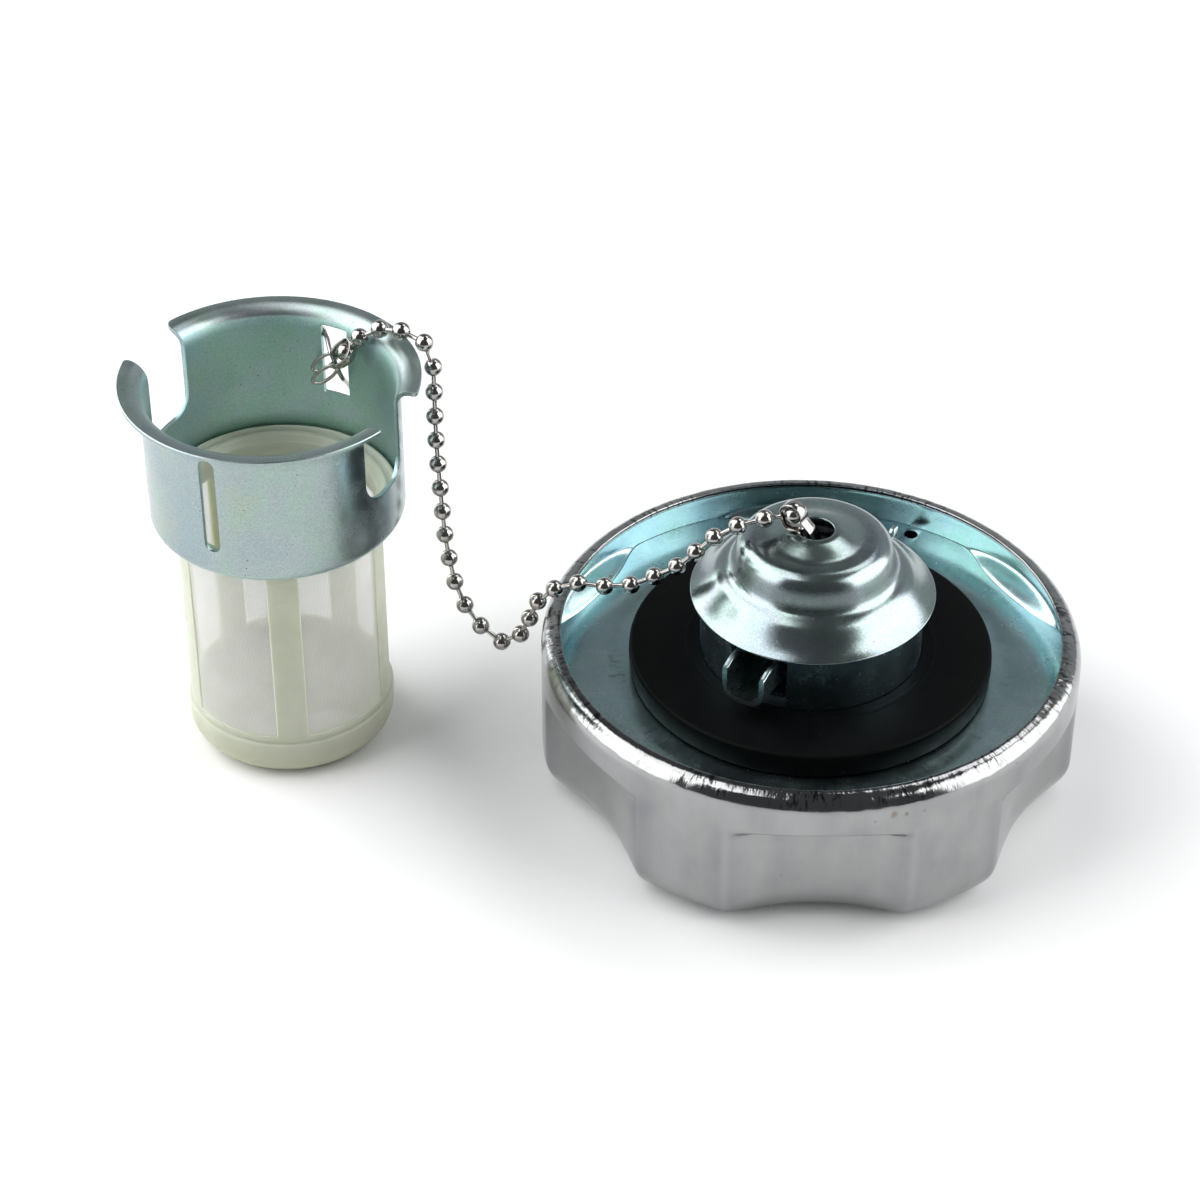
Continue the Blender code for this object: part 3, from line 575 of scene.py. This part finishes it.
# inside its bore the collar gets a painted tint of bounced light
collar_zinc = zinc_look("zinc_collar", (0.38, 0.445, 0.45), 0.25, axis=STRAINER, stain=1.3, tint=1.0, grain=2.0,
                        bore=21.9)
rubber = rubber_look()
nylon = nylon_look()
side_mesh = mesh_look("woven_screen")
floor_mesh = mesh_look("woven_floor", floor=True)
nickel = nickel_look()
foam = plain_look("filter_foam", (0.10, 0.10, 0.095), 0.95, 0.0, 0.8, 0.5)
steel = plain_look("spring_steel", (0.42, 0.43, 0.45), 0.35, 1.0, 0.5, 0.02)


# ---------- bead chain

# middle line of the chain from the collar's coupling to the dome's hoop, mm
ROUTE = (
    (-82.2, 15.8, 71.3), (-80.9, 15.5, 73.1), (-77.1, 14.5, 75.6), (-72.7, 12.4, 76.7),
    (-68.5, 10.7, 75.5), (-67.2, 10.1, 70.5), (-67.2, 9.6, 65.7), (-67.0, 9.0, 56.1),
    (-66.4, 8.2, 46.5), (-65.7, 7.6, 37.0), (-63.8, 6.3, 27.7), (-61.4, 5.2, 23.3), (-58.2, 4.1, 19.9),
    (-55.2, 3.7, 18.2), (-52.2, 3.0, 20.3), (-50.2, 2.2, 24.6), (-48.7, 1.5, 29.1), (-45.7, 0.8, 32.9),
    (-41.5, 0.3, 35.2), (-36.7, -0.4, 35.6), (-31.9, -0.7, 36.5), (-27.7, -0.9, 38.9), (-23.7, -1.2, 41.6),
    (-20.4, -1.4, 45.2), (-17.3, -1.6, 48.8), (-13.3, -1.5, 51.6), (-10.5, -1.2, 52.8), (-6.5, -0.5, 53.6),
)
BEAD_R = 1.6
COLLAR_END = Vector((-84.0, 16.3, 69.1))
DOME_END = Vector((-3.9, -0.1, 53.9))


def point_at(line, distance):
    """Point a given distance along a line."""
    walked = 0.0
    for p, q in zip(line, line[1:]):
        step = (q - p).length
        if walked + step >= distance:
            return p.lerp(q, (distance - walked) / step)
        walked += step
    return line[-1].copy()


def line_length(line):
    return sum((q - p).length for p, q in zip(line, line[1:]))


def bead_data(centre, axis, rng):
    """Ball with a flattened neck at each end, turned about its axis at random."""
    axis = axis.normalized()
    side = Matrix.Rotation(rng.random() * tau, 3, axis) @ axis.orthogonal().normalized()
    other = axis.cross(side)
    outline = [(0.30, -1.36), *arc(0.0, 0.0, BEAD_R, -72, 72, 14), (0.30, 1.36)]
    verts = []
    count = 20
    for i in range(count):
        a = tau * i / count
        verts += [centre + side * r * cos(a) + other * r * sin(a) + axis * z for r, z in outline]
    n = len(outline)
    faces = grid_faces(count, n, ring=False)
    faces += [tuple(i * n for i in range(count)), tuple(i * n + n - 1 for i in range(count))]
    return verts, faces


def nickel_piece(name, data, node, sharp=45):
    """Plated piece of the chain or its clasps."""
    return stand_in(add_mesh(name, *data, nickel.mat, "strainer", sharp=sharp), node)


def make_chain():
    """Beads, the short links between them, and the two end beads the clasps hold."""
    rng = random.Random(7)
    beads, first_gap, last_gap = 30, 1.9, 2.3
    line = [Vector(p) for p in curve_through(ROUTE, 16)]
    total = line_length(line)
    centres = [point_at(line, first_gap + (total - last_gap - first_gap) * i / (beads - 1)) for i in range(beads)]
    spots = [COLLAR_END] + centres + [DOME_END]
    parts = [bead_data(c, spots[i + 2] - spots[i], rng) for i, c in enumerate(centres)]
    in_bead, in_clasp = 0.9, 2.2
    for i, (p, q) in enumerate(zip(spots, spots[1:])):
        run = (q - p).normalized()
        start = p + run * (in_bead if i else in_clasp)
        end = q - run * (in_bead if i < beads else in_clasp)
        if (end - start).dot(run) > 0.2:
            points = [start.lerp(end, t / 6) for t in range(7)]
            parts.append(tube_data(points, lambda t: 0.40 + 0.12 * abs(2 * t - 1) ** 3, 10))
    chain = nickel_piece("ball_chain", merged(parts), "bead_chain")
    ends = [nickel_piece(name, bead_data(spot, toward - spot, rng), node) for name, node, spot, toward in (
        ("collar_end_bead", "end_bead_collar", COLLAR_END, centres[0]),
        ("dome_end_bead", "end_bead_dome", DOME_END, centres[-1]))]
    path = [tuple(p * MM) for p in curve_through(ROUTE, 4)]
    return chain, path, total, ends


chain, chain_path, chain_length, end_beads = make_chain()


def strip_data(points, side, width, thickness, closed=True):
    """Flat strip with eased edges along a line of points, its width lying along one axis."""
    side = Vector(side).normalized()
    pts = [Vector(p) for p in points]
    n = len(pts)
    e = min(thickness, width) * 0.28
    w, t = width / 2, thickness / 2
    ring = [(w - e, t), (w, t - e), (w, -t + e), (w - e, -t), (-w + e, -t), (-w, -t + e), (-w, t - e), (-w + e, t)]
    verts = []
    for i, p in enumerate(pts):
        run = (pts[(i + 1) % n] - pts[i - 1]) if closed else (pts[min(i + 1, n - 1)] - pts[max(i - 1, 0)])
        out = run.cross(side).normalized()
        lie = out.cross(run).normalized()
        verts += [p + lie * a + out * b for a, b in ring]
    m = len(ring)
    faces = grid_faces(n, m, loop=closed, turned=True)
    if not closed:
        faces += [tuple(range(m)), tuple(range((n - 1) * m, n * m))]
    return verts, faces


def make_clasps():
    """Hoop and cross pin at the dome, two-eyed coupling and bent wire at the collar."""
    x, y, z = -0.7, -0.9, 48.3  # middle of the cross pin, under the dome's hole
    lean = Vector((0.90, -0.43, 0.0))
    ring = []
    for t in range(215, -36, -25):
        a = radians(t)
        ring.append(DOME_END + lean * (2.15 * cos(a)) + Vector((0, 0, 2.25 * sin(a) + 0.1)))
    hoop = [(x, y, z - 1.5), (x - 1.1, y, z - 0.9), (x - 1.35, y, z + 0.9), (x - 1.4, y, 50.7), (-2.7, -0.9, 51.75)]
    hoop += [(-4.6, -0.3, 51.75)] + ring[1:-1]
    hoop += [(x + 0.1, y - 0.2, 51.7), (x + 0.7, y, 50.2), (x + 1.25, y, z + 0.6), (x + 1.1, y, z - 0.9)]
    line = curve_through(hoop + hoop[:1], 5)[:-1]
    hoop_piece = nickel_piece("hoop_clasp", strip_data(line, (0.43, 0.90, 0.0), 2.3, 0.3), "dome_clasp", 60)
    pin_line = [(x + 0.4 - 0.8 * t / 8, y - 4.0 + t, z) for t in range(9)]
    pin = nickel_piece("cross_pin", tube_data(pin_line, 0.55, 16), "anchor_pin")

    tip = Vector((-90.9, 18.6, 62.1))
    along = (tip - COLLAR_END).normalized()
    across = along.cross(Vector((0.32, 0.95, 0.0))).normalized()
    flat = across.cross(along).normalized()
    across, flat = (across * 0.64 - flat * 0.77), (flat * 0.64 + across * 0.77)
    cage = [(3.9, -1.28), (2.9, -1.5), (2.0, -1.95), (0.6, -2.07), (-1.0, -1.95), (-1.95, -1.2), (-2.2, 0.0),
            (-1.95, 1.2), (-1.0, 1.95), (0.6, 2.07), (2.0, 1.95), (2.9, 1.5), (3.9, 1.28)]
    points = [COLLAR_END + along * u + across * v for u, v in curve_through(cage, 4)]
    parts = [strip_data(points, flat, 1.7, 0.32, closed=False)]
    eye_at, eye_long, eye_wide = 6.65, 3.4, 1.05
    lean = (across * 0.50 + flat * 0.87).normalized()
    thin = along.cross(lean).normalized()
    for side in (-1.25, 1.25):
        ring = []
        for k in range(40):
            a = tau * k / 40
            ring.append(COLLAR_END + along * (eye_at + eye_long * cos(a)) + across * side + flat * 0.4
                        + lean * (eye_wide * sin(a)))
        parts.append(strip_data(ring, thin, 0.42, 0.62))
    eyes = nickel_piece("eye_clasp", merged(parts), "collar_clasp", 60)

    route = [(-89.9, 22.75, 71.2), (-89.1, 22.4, 69.3), (-88.1, 20.6, 68.6), (-87.2, 18.3, 67.9),
             (-86.6, 17.7, 66.95), (-85.9, 17.5, 65.0), (-85.4, 18.3, 62.6), (-85.2, 20.2, 60.4),
             (-84.9, 21.7, 58.6), (-84.3, 22.4, 56.4), (-84.1, 22.4, 55.2)]
    nickel_piece("toggle_rod", tube_data(curve_through(route, 6), 0.42, 14), "toggle_wire")
    return hoop_piece, pin, eyes


dome_clasp, cross_pin, eye_clasp = make_clasps()


# ---------- cover of the cap

def flute(angle):
    """Share of full flute depth (0 to 1) and the crease's height at an angle in radians."""
    away = (degrees(angle) - FLUTE_AZ + FLUTE_STEP / 2) % FLUTE_STEP - FLUTE_STEP / 2
    d2 = (away / FLUTE_HALF) ** 2
    q = 1.0 - d2
    share = 0.5 * (q + sqrt(q * q + 0.006)) if d2 < 4 else 0.0
    if d2 > 1.0:
        share *= max(0.0, 1.0 - (d2 - 1.0) / 0.35) ** 2
    return share, FLUTE_TOP - CREASE_FALL * min(d2, 1.0)


def ease(t):
    t = min(1.0, max(0.0, t))
    return t * t * (3 - 2 * t)


def wall_radius(angle, r, z, inner):
    """Radius of a point of the round section once it is moved in to the flute's surface."""
    share, top = flute(angle)
    if inner:
        top += 0.9
    depth = FLUTE_DEPTH - min(max(z, 0.0) / 22.0, 1.0)
    return r - depth * share * (1.0 - ease((z - (top - 2.0)) / 2.0))


def make_cover():
    """Drawn cover: fluted wall, rolled rim with forming waves, zinc inside."""
    foot_r, foot_bend, rim_r, rim_z, wall = 40.2, 6.8, 43.8, 26.9, 1.0
    outer = [(r, 0.0) for r in (2.0, 12.0, 24.0, 33.0, 38.0)]
    outer += arc(foot_r, foot_bend, foot_bend, -90, 0, 12)
    outer += [(COVER_R, z) for z in (9.0, 12.0, 15.0, 18.0, 19.5, 20.4)]
    outer += [(COVER_R, 20.4 + 0.22 * k) for k in range(1, 16)]
    outer += [(COVER_R, z) for z in (24.4, 25.4, 26.2)]
    outer += arc(rim_r, rim_z, COVER_R - rim_r, 0, 90, 14)
    edge = [(43.66, 30.1), (43.56, 30.02), (43.5, 29.8), (43.5, 29.5), (43.55, 29.3), (43.66, 29.12)]
    inner = arc(rim_r, rim_z, COVER_R - wall - rim_r, 90, 0, 6)
    inner += [(COVER_R - wall, z) for z in (26.2, 25.6)]
    inner += [(COVER_R - wall, 25.2 - 0.24 * k) for k in range(1, 18)]
    inner += [(COVER_R - wall, z) for z in (19.0, 14.0, 9.0)]
    inner += arc(foot_r, foot_bend, foot_bend - wall, 0, -90, 5)
    inner += [(r, wall) for r in (30.0, 15.0, 2.0)]
    section = [(p, False) for p in outer + edge] + [(p, True) for p in inner]
    n = len(section)
    count = 720
    waved = range(len(outer) - 11, len(outer) + 5)
    verts = []
    for i in range(count):
        a = tau * i / count
        for j, ((r, z), inside) in enumerate(section):
            if z < 26.0:
                wide = 1.0 if r > 40.0 else ease((r - 30.0) / 10.0)
                r -= (COVER_R - wall_radius(a, COVER_R, z, inside)) * wide
            if j in waved:
                wave = noise.noise(Vector((cos(a) * 26, sin(a) * 26, z * 0.25)))
                slow = noise.noise(Vector((cos(a) * 6, sin(a) * 6, 3.0)))
                z += 0.045 * wave + 0.05 * slow
                r += 0.03 * wave
            verts.append((r * cos(a), r * sin(a), z))
    faces = grid_faces(count, n, ring=False)
    for row, height in ((0, 0.0), (n - 1, wall)):
        pole = len(verts)
        verts.append((0.0, 0.0, height))
        faces += [(pole, (i + 1) % count * n + row, i * n + row) for i in range(count)]
    cover = add_mesh("cover", verts, faces, chrome.mat, "cap", sharp=60)
    cover.data.materials.append(inside_zinc.mat)
    zinc_from = len(outer) + len(edge) - 1
    for poly in cover.data.polygons:
        if min(v % n for v in poly.vertices if v < count * n) >= zinc_from:
            poly.material_index = 1
    stand_in(cover, "cover_shell")


make_cover()


def rivet_holes(low, high, sides):
    """Cutters for the four rivets that join the neck to the plate."""
    tools = []
    for k in range(4):
        a = radians(BAR_AZ + 45 + 90 * k)
        ring = arc(RIVET_CIRCLE * cos(a), RIVET_CIRCLE * sin(a), RIVET_R, 0, 360, sides)[:-1]
        tools.append(prism(ring, low, high, XYZ))
    return tools


def make_plate():
    """Zinc plate that follows the fluted wall, with a shallow rolled groove and a vent hole."""
    count, wall_r = 480, COVER_R - 1.0
    radii = [4.0, 12.0, 20.0, 28.0, 32.2, 33.0, 34.0, 35.0, 35.6, 38.0, 40.0]
    rows = len(radii) + 2
    verts = []
    for level, down in ((PLATE_TOP, 1), (PLATE_LOW, -1)):
        for i in range(count):
            a = tau * i / count
            edge = wall_radius(a, wall_r, PLATE_LOW - 0.3, False) - 0.07
            profile = []
            for r in radii:
                groove = 0.05 if 32.5 < r < 35.2 and level == PLATE_TOP else 0.0
                profile.append((min(r, edge - 0.2 - (40.0 - r) * 0.02) if r > 36 else r, groove))
            profile += [(edge - 0.04, 0.0), (edge, 0.04)]
            verts += [(r * cos(a), r * sin(a), level - down * drop) for r, drop in profile]
    half = count * rows
    faces = grid_faces(count, rows, ring=False) + grid_faces(count, rows, ring=False, base=half)
    for i in range(count):
        k = (i + 1) % count
        for j in (0, rows - 1):
            faces.append((i * rows + j, k * rows + j, half + k * rows + j, half + i * rows + j))
    plate = add_mesh("plate", verts, faces, inside_zinc.mat, "cap", sharp=40)
    vent = prism(arc(15.36, 40.74, 1.25, 0, 360, 32)[:-1], PLATE_LOW - 2, PLATE_TOP + 2, XYZ)
    carve(plate, [vent] + rivet_holes(PLATE_LOW - 2, PLATE_TOP + 2, 32), bevel=0.08)
    stand_in(plate, "inner_plate")


make_plate()


def make_inner_parts():
    """Gasket, and the neck with its two windows."""
    gasket = [(19.4, 22.6, 0), (31.5, 22.6, 0.4), (31.7, 24.8, 0), (31.6, 27.05, 0.7), (22.0, 27.1, 0.3),
              (21.7, 27.16, 0.2), (21.2, 27.16, 0.2), (20.9, 27.1, 0.3), (19.4, 27.1, 0.1)]
    ring = lathe("gasket", fillet(gasket, 5), rubber.mat, "cap", count=256, sharp=80)
    stand_in(ring, "sealing_gasket")

    cup = [(4.0, 22.6, 0.2), (19.3, 22.6, 1.4), (19.3, 37.5, 0.5), (20.2, 38.1, 0.25), (19.9, 38.6, 0.15),
           (18.3, 38.9, 0.3), (18.3, 23.6, 0.6), (4.0, 23.6, 0.2)]
    neck = lathe("neck", fillet(cup, 4), neck_zinc.mat, "cap")
    windows = prism(slot_outline(10.8, 29.2, 38.3, 0.7, 0.7), -24, 24, radial_axes(BAR_AZ))
    carve(neck, [windows] + rivet_holes(21.0, 25.0, 24), bevel=0.1)
    stand_in(neck, "neck_cup")


make_inner_parts()


def make_dome():
    """Stepped dome of thin sheet with a rolled-under hem and a rounded hole."""
    line = [(3.3, 51.3), (4.4, 51.2), (5.6, 50.85), (6.8, 50.42), (7.8, 50.08), (8.6, 49.93), (9.5, 49.88),
            (10.7, 49.8), (11.5, 49.58), (12.2, 49.18), (12.8, 48.6), (13.25, 47.92), (13.55, 47.15),
            (13.78, 46.3), (14.0, 45.4), (14.28, 44.6), (14.65, 43.98), (15.2, 43.55), (16.0, 43.15),
            (16.9, 42.5), (17.8, 41.55), (18.6, 40.7), (19.4, 39.95), (20.2, 39.3), (20.85, 38.85),
            (21.15, 38.65), (21.2, 38.5)]
    sheet = 0.46
    outer = [tuple(p) for p in curve_through(line, 4)]
    inner = offset_line(outer, sheet)
    inner[0] = (3.3, 50.86)
    inner = [p for p in inner if p[0] < 20.5]
    hem = [(21.16, 38.38), (21.05, 38.3), (20.85, 38.3), (20.7, 38.38)]
    lip = [(3.2, 50.94), (3.17, 51.08), (3.2, 51.2)]
    dome = lathe("dome", outer + hem + inner[::-1] + lip, dome_zinc.mat, "cap", count=256, sharp=60)
    stand_in(dome, "spring_dome")


make_dome()


def make_bar():
    """U-section bar; its near end slopes down a little and its far end is turned up."""
    side, up, along = [Vector(v) for v in radial_axes(BAR_AZ)]
    foot_z, leg, outside, inside, ease_in = 29.6, 7.15, 4.0, 3.1, 0.12
    stations = [-24.0, -23.9, -23.4, -22.6, -22.1, -21.7, -21.3, -18.0, -9.0, 0.0, 9.0, 18.0, 21.2, 22.4, 23.4,
                23.9, 24.0]
    verts = []
    for t in stations:
        if t < 0:
            height = leg + 1.9 * ease((-t - 21.3) / 1.3)
        else:
            height = leg - 0.9 * ease((t - 21.3) / 2.7)
        narrow = 0.992 if abs(t) > 23.95 else 1.0
        shoulder = height - ease_in
        loop = [(outside, shoulder), (outside, height * 0.7)]
        loop += arc(1.0, 3.0, 3.0, 0, -90, 7) + arc(-1.0, 3.0, 3.0, -90, -180, 7)
        loop += [(-outside, height * 0.7), (-outside, shoulder)]
        loop += [(ease_in - outside, height), (-inside - ease_in, height), (-inside, shoulder), (-inside, height * 0.7)]
        loop += arc(-1.0, 3.0, 2.1, -180, -90, 7) + arc(1.0, 3.0, 2.1, -90, 0, 7)
        loop += [(inside, height * 0.7), (inside, shoulder), (inside + ease_in, height), (outside - ease_in, height)]
        verts += [side * (u * narrow) + up * (v + foot_z) + along * t for u, v in loop]
    m = len(loop)
    faces = grid_faces(len(stations), m, loop=False, turned=True)
    last_outer, first_inner, last_inner = 19, 22, 41
    for base in (0, (len(stations) - 1) * m):
        for q in range(last_outer):
            faces.append([base + v for v in (q, q + 1, last_inner - q - 1, last_inner - q)])
        faces.append([base + v for v in (0, last_inner, m - 2, m - 1)])
        faces.append([base + v for v in (last_outer, last_outer + 1, last_outer + 2, first_inner)])
    stand_in(add_mesh("lock_bar", verts, faces, bar_zinc.mat, "lock", sharp=45), "locking_bar")


make_bar()


def make_spring():
    """Coil between the washer and the dome."""
    low, high, radius, wire, turns = 39.26, 48.1, 10.4, 0.85, 4
    steps = 36 * turns
    line = []
    for i in range(steps + 1):
        a = tau * turns * i / steps
        line.append((radius * cos(a), radius * sin(a), low + (high - low) * i / steps))
    coil = add_mesh("coil_spring", *tube_data(line, wire, 14), steel.mat, None, sharp=60)
    stand_in(coil, "lock_spring")
    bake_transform(coil)


make_spring()


# ---------- collar and strainer

def make_collar():
    """Collar with a curled lip, two notches with rounded corners, a slot and the chain's window."""
    bore, outside, turn_r, turn_z = 21.38, 22.18, 19.98, 48.4
    curl_r, curl_z, lip_r = 24.78, 70.4, 25.8
    levels = (51.0, 54.0, 57.0, 60.0, 63.0, 66.0, 68.5)
    outline = [(18.5, 46.2), (18.4, 46.35), (18.4, 46.85), (18.5, 47.0)]
    outline += arc(turn_r, turn_z, 1.4, -90, 0, 5) + [(bore, z) for z in levels]
    outline += arc(curl_r, curl_z, 3.4, 180, 90, 12)
    outline += [(25.65, 73.8), (lip_r, 73.65), (lip_r, 73.15), (25.65, 73.0)]
    outline += arc(curl_r, curl_z, 2.6, 90, 180, 10)
    outline += [(outside, z) for z in levels[::-1]] + arc(turn_r, turn_z, 2.2, 0, -90, 7)
    collar = lathe("collar", outline, collar_zinc.mat, "strainer", STRAINER, 288, sharp=45)

    notch_half, overlap, past_lip = 5.95, 0.15, 28.0
    side, up, out = radial_axes(NOTCH_AZ)
    tools = [prism(slot_outline(2 * notch_half, 57.2, 80.0, 4.0, steps=10), -40, 40, (side, up, out), STRAINER_FOOT)]
    for across, along, radius in ((1, -1, 1.9), (-1, -1, 0.7), (1, 1, 0.7), (-1, 1, 0.5)):
        reach = sqrt(lip_r ** 2 - notch_half ** 2) - 0.35 * radius
        ring = [(notch_half - overlap, past_lip), (notch_half - overlap, reach - radius)]
        ring += arc(notch_half + radius, reach - radius, radius, 180, 90, 8) + [(notch_half + radius, past_lip)]
        tools.append(prism([(across * u, along * v) for u, v in ring], 66.0, 80.0, (side, out, up), STRAINER_FOOT))
    tools.append(prism(slot_outline(3.0, 51.8, 70.3, 1.45, 1.45), 12, 40, radial_axes(SLOT_AZ), STRAINER_FOOT))
    tools.append(prism(slot_outline(5.2, 57.4, 71.3, 0.25, 0.25, 3), 12, 40, radial_axes(WINDOW_AZ), STRAINER_FOOT))
    carve(collar, tools, bevel=0.12, angle=50, sharp=40)
    stand_in(collar, "neck_collar")


make_collar()


def make_basket():
    """Moulded basket: ring at the top, five ribs and a spoked floor."""
    foot = [(r, z, 0.0) for r, z in arc(13.7, 4.8, 4.8, -88, -2, 10)]
    section = [(5.0, 4.6, 0.3), (12.6, 4.6, 0.4), (13.0, 0.6, 0.4), (13.4, 0.05, 0.3), *foot, (18.5, 7.85, 0.3),
               (18.05, 8.1, 0.25), (18.05, 45.1, 0.2), (18.75, 45.4, 0.2), (18.75, 45.75, 0.2), (18.05, 45.95, 0.1),
               (18.05, 47.3, 0.15), (20.2, 47.3, 0.4), (20.95, 48.1, 0.4), (20.95, 49.9, 0.5), (20.2, 50.1, 0.35),
               (19.75, 49.45, 0.3), (19.3, 49.4, 0.25), (18.9, 49.9, 0.3), (18.2, 49.7, 0.35), (17.6, 49.0, 0.4),
               (17.2, 48.6, 0.3), (17.2, 6.3, 0.6), (16.4, 5.7, 0.5), (12.0, 5.7, 0.2), (11.7, 6.1, 0.2),
               (11.2, 6.1, 0.2), (10.9, 5.7, 0.2), (5.0, 5.7, 0.3)]
    basket = lathe("basket", fillet(section, 3), nylon.mat, "strainer", STRAINER, 200, sharp=60)
    rib = degrees(RIB_WIDTH / 18.05)
    step = 360 // RIB_COUNT
    tools = []
    for k in range(RIB_COUNT):
        start, end = RIB_AZ + step * k + rib / 2, RIB_AZ + step * (k + 1) - rib / 2
        for inner, outer, margin, parts, low, high in ((10, 24, 0, 12, 9.6, 44.8), (7.6, 12.2, 4, 8, 2.0, 8.0)):
            ring = arc(0, 0, outer, start + margin, end - margin, parts)
            ring += arc(0, 0, inner, end - margin, start + margin, parts)
            tools.append(prism(ring, low, high, XYZ, STRAINER_FOOT))
    carve(basket, tools, bevel=0.15, angle=50, sharp=50)
    stand_in(basket, "basket_frame")


make_basket()


def make_screens():
    """Woven sleeve that bows in between the ribs, and the floor's disc."""
    columns = 160
    half_step = 180 / RIB_COUNT
    heights = [SCREEN_LOW + SCREEN_TALL * k / 24 for k in range(25)]
    verts = []
    for i in range(columns):
        a = tau * i / columns
        away = ((degrees(a) - RIB_AZ + half_step) % (2 * half_step) - half_step) / half_step
        bow = 0.16 * (1.0 - abs(away)) ** 0.5
        for z in heights:
            ripple = 0.05 * noise.noise(Vector((a * 4, z * 0.12, 1.0)))
            r = SCREEN_R - bow * sin(pi * (z - SCREEN_LOW) / SCREEN_TALL) * 0.5 + ripple
            verts.append((STRAINER[0] + r * cos(a), STRAINER[1] + r * sin(a), z))
    faces = grid_faces(columns, len(heights), ring=False)
    stand_in(add_mesh("screen_sleeve", verts, faces, side_mesh.mat, "strainer"), "side_screen")

    disc_r, disc_z, rings, columns = 14.0, 5.2, 8, 96
    verts, faces = [(*STRAINER, disc_z)], []
    for j in range(1, rings + 1):
        r = disc_r * j / rings
        for i in range(columns):
            a = tau * i / columns
            sag = 0.08 * noise.noise(Vector((r * 0.2 * cos(a), r * 0.2 * sin(a), 5.0)))
            verts.append((STRAINER[0] + r * cos(a), STRAINER[1] + r * sin(a), disc_z + sag))
    for i in range(columns):
        k = (i + 1) % columns
        faces.append((0, 1 + i, 1 + k))
        for at in range(1, 1 + (rings - 1) * columns, columns):
            faces.append((at + i, at + columns + i, at + columns + k, at + k))
    stand_in(add_mesh("screen_disc", verts, faces, floor_mesh.mat, "strainer"), "floor_screen")


make_screens()


# ---------- pieces kept from the frame

kept_looks = [("breather_pad", foam, "foam"), ("spring_seat", neck_zinc, "zinc_sheet")]
kept_looks += [(f"cup_rivet_{k}", bar_zinc, "zinc_sheet") for k in range(1, 5)]
for node, look, slot in kept_looks:
    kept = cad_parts[node]
    kept.data.materials.clear()
    kept.data.materials.append(look.mat)


# ---------- stage and light

def make_stage():
    """Pale floor just under the part."""
    look = Look("pale_floor", (0.93, 0.93, 0.93), 0.55, 0.0)
    look.set("Base Color", look.ramp(look.noise(60.0, 3.0), [(0.3, (0.92, 0.92, 0.925)), (0.7, (0.94, 0.94, 0.94))]))
    half, down = 3000, -0.05
    verts = [(-half, -half, down), (half, -half, down), (half, half, down), (-half, half, down)]
    floor = add_mesh("floor", verts, [(0, 1, 2, 3)], look.mat, None)
    if floor.data.polygons[0].normal.z < 0:
        floor.data.flip_normals()


def add_panel(name, at, target, width, height, radiance):
    """Soft panel of even brightness, sizes and places in metres."""
    data = bpy.data.lights.new(name, "AREA")
    data.shape = "RECTANGLE"
    data.size, data.size_y = width, height
    data.energy = pi * width * height * radiance
    lamp = bpy.data.objects.new(name, data)
    lamp.location = at
    lamp.rotation_euler = (Vector(target) - Vector(at)).to_track_quat("-Z", "Y").to_euler()
    bpy.context.scene.collection.objects.link(lamp)


def make_light():
    """Soft glow from behind, two tall side walls and two high sheets, with a dark gap in front."""
    world = bpy.data.worlds.new("studio")
    bpy.context.scene.world = world
    world.use_nodes = True
    tree = world.node_tree
    sky = tree.nodes["Background"]
    sky.inputs["Color"].default_value = (0.92, 0.97, 1.0, 1.0)
    way = tree.nodes.new("ShaderNodeTexCoord")
    parts = tree.nodes.new("ShaderNodeSeparateXYZ")
    tree.links.new(way.outputs["Generated"], parts.inputs[0])

    def fade(value, low, high, to_low, to_high):
        made = tree.nodes.new("ShaderNodeMapRange")
        made.interpolation_type = "SMOOTHSTEP"
        tree.links.new(value, made.inputs["Value"])
        for key, number in (("From Min", low), ("From Max", high), ("To Min", to_low), ("To Max", to_high)):
            made.inputs[key].default_value = number
        return made.outputs[0]

    def both(op, one, two):
        made = tree.nodes.new("ShaderNodeMath")
        made.operation = op
        for socket, value in zip(made.inputs, (one, two)):
            if isinstance(value, float):
                socket.default_value = value
            else:
                tree.links.new(value, socket)
        return made.outputs[0]

    ambient, back_glow = 0.09, 0.38
    back = fade(parts.outputs[1], 0.25, 0.75, 0.0, 1.0)
    low_part = fade(parts.outputs[2], 0.48, 0.70, back_glow, 0.0)
    tree.links.new(both("ADD", both("MULTIPLY", back, low_part), ambient), sky.inputs["Strength"])
    add_panel("left_wall", (-0.66, -0.02, 0.56), (0.0, -0.02, 0.56), 1.20, 1.08, 3.1)
    add_panel("right_wall", (0.64, 0.05, 0.56), (0.0, 0.05, 0.56), 0.84, 1.08, 3.3)
    add_panel("left_sheet", (-0.44, -0.05, 1.16), (0.0, -0.05, 0.0), 0.90, 0.46, 2.6)
    add_panel("right_sheet", (0.36, 0.60, 1.00), (0.0, 0.0, 0.05), 0.46, 0.36, 2.8)
    bpy.context.scene.view_settings.view_transform = "Standard"
    bpy.context.scene.view_settings.look = "None"


make_stage()
make_light()
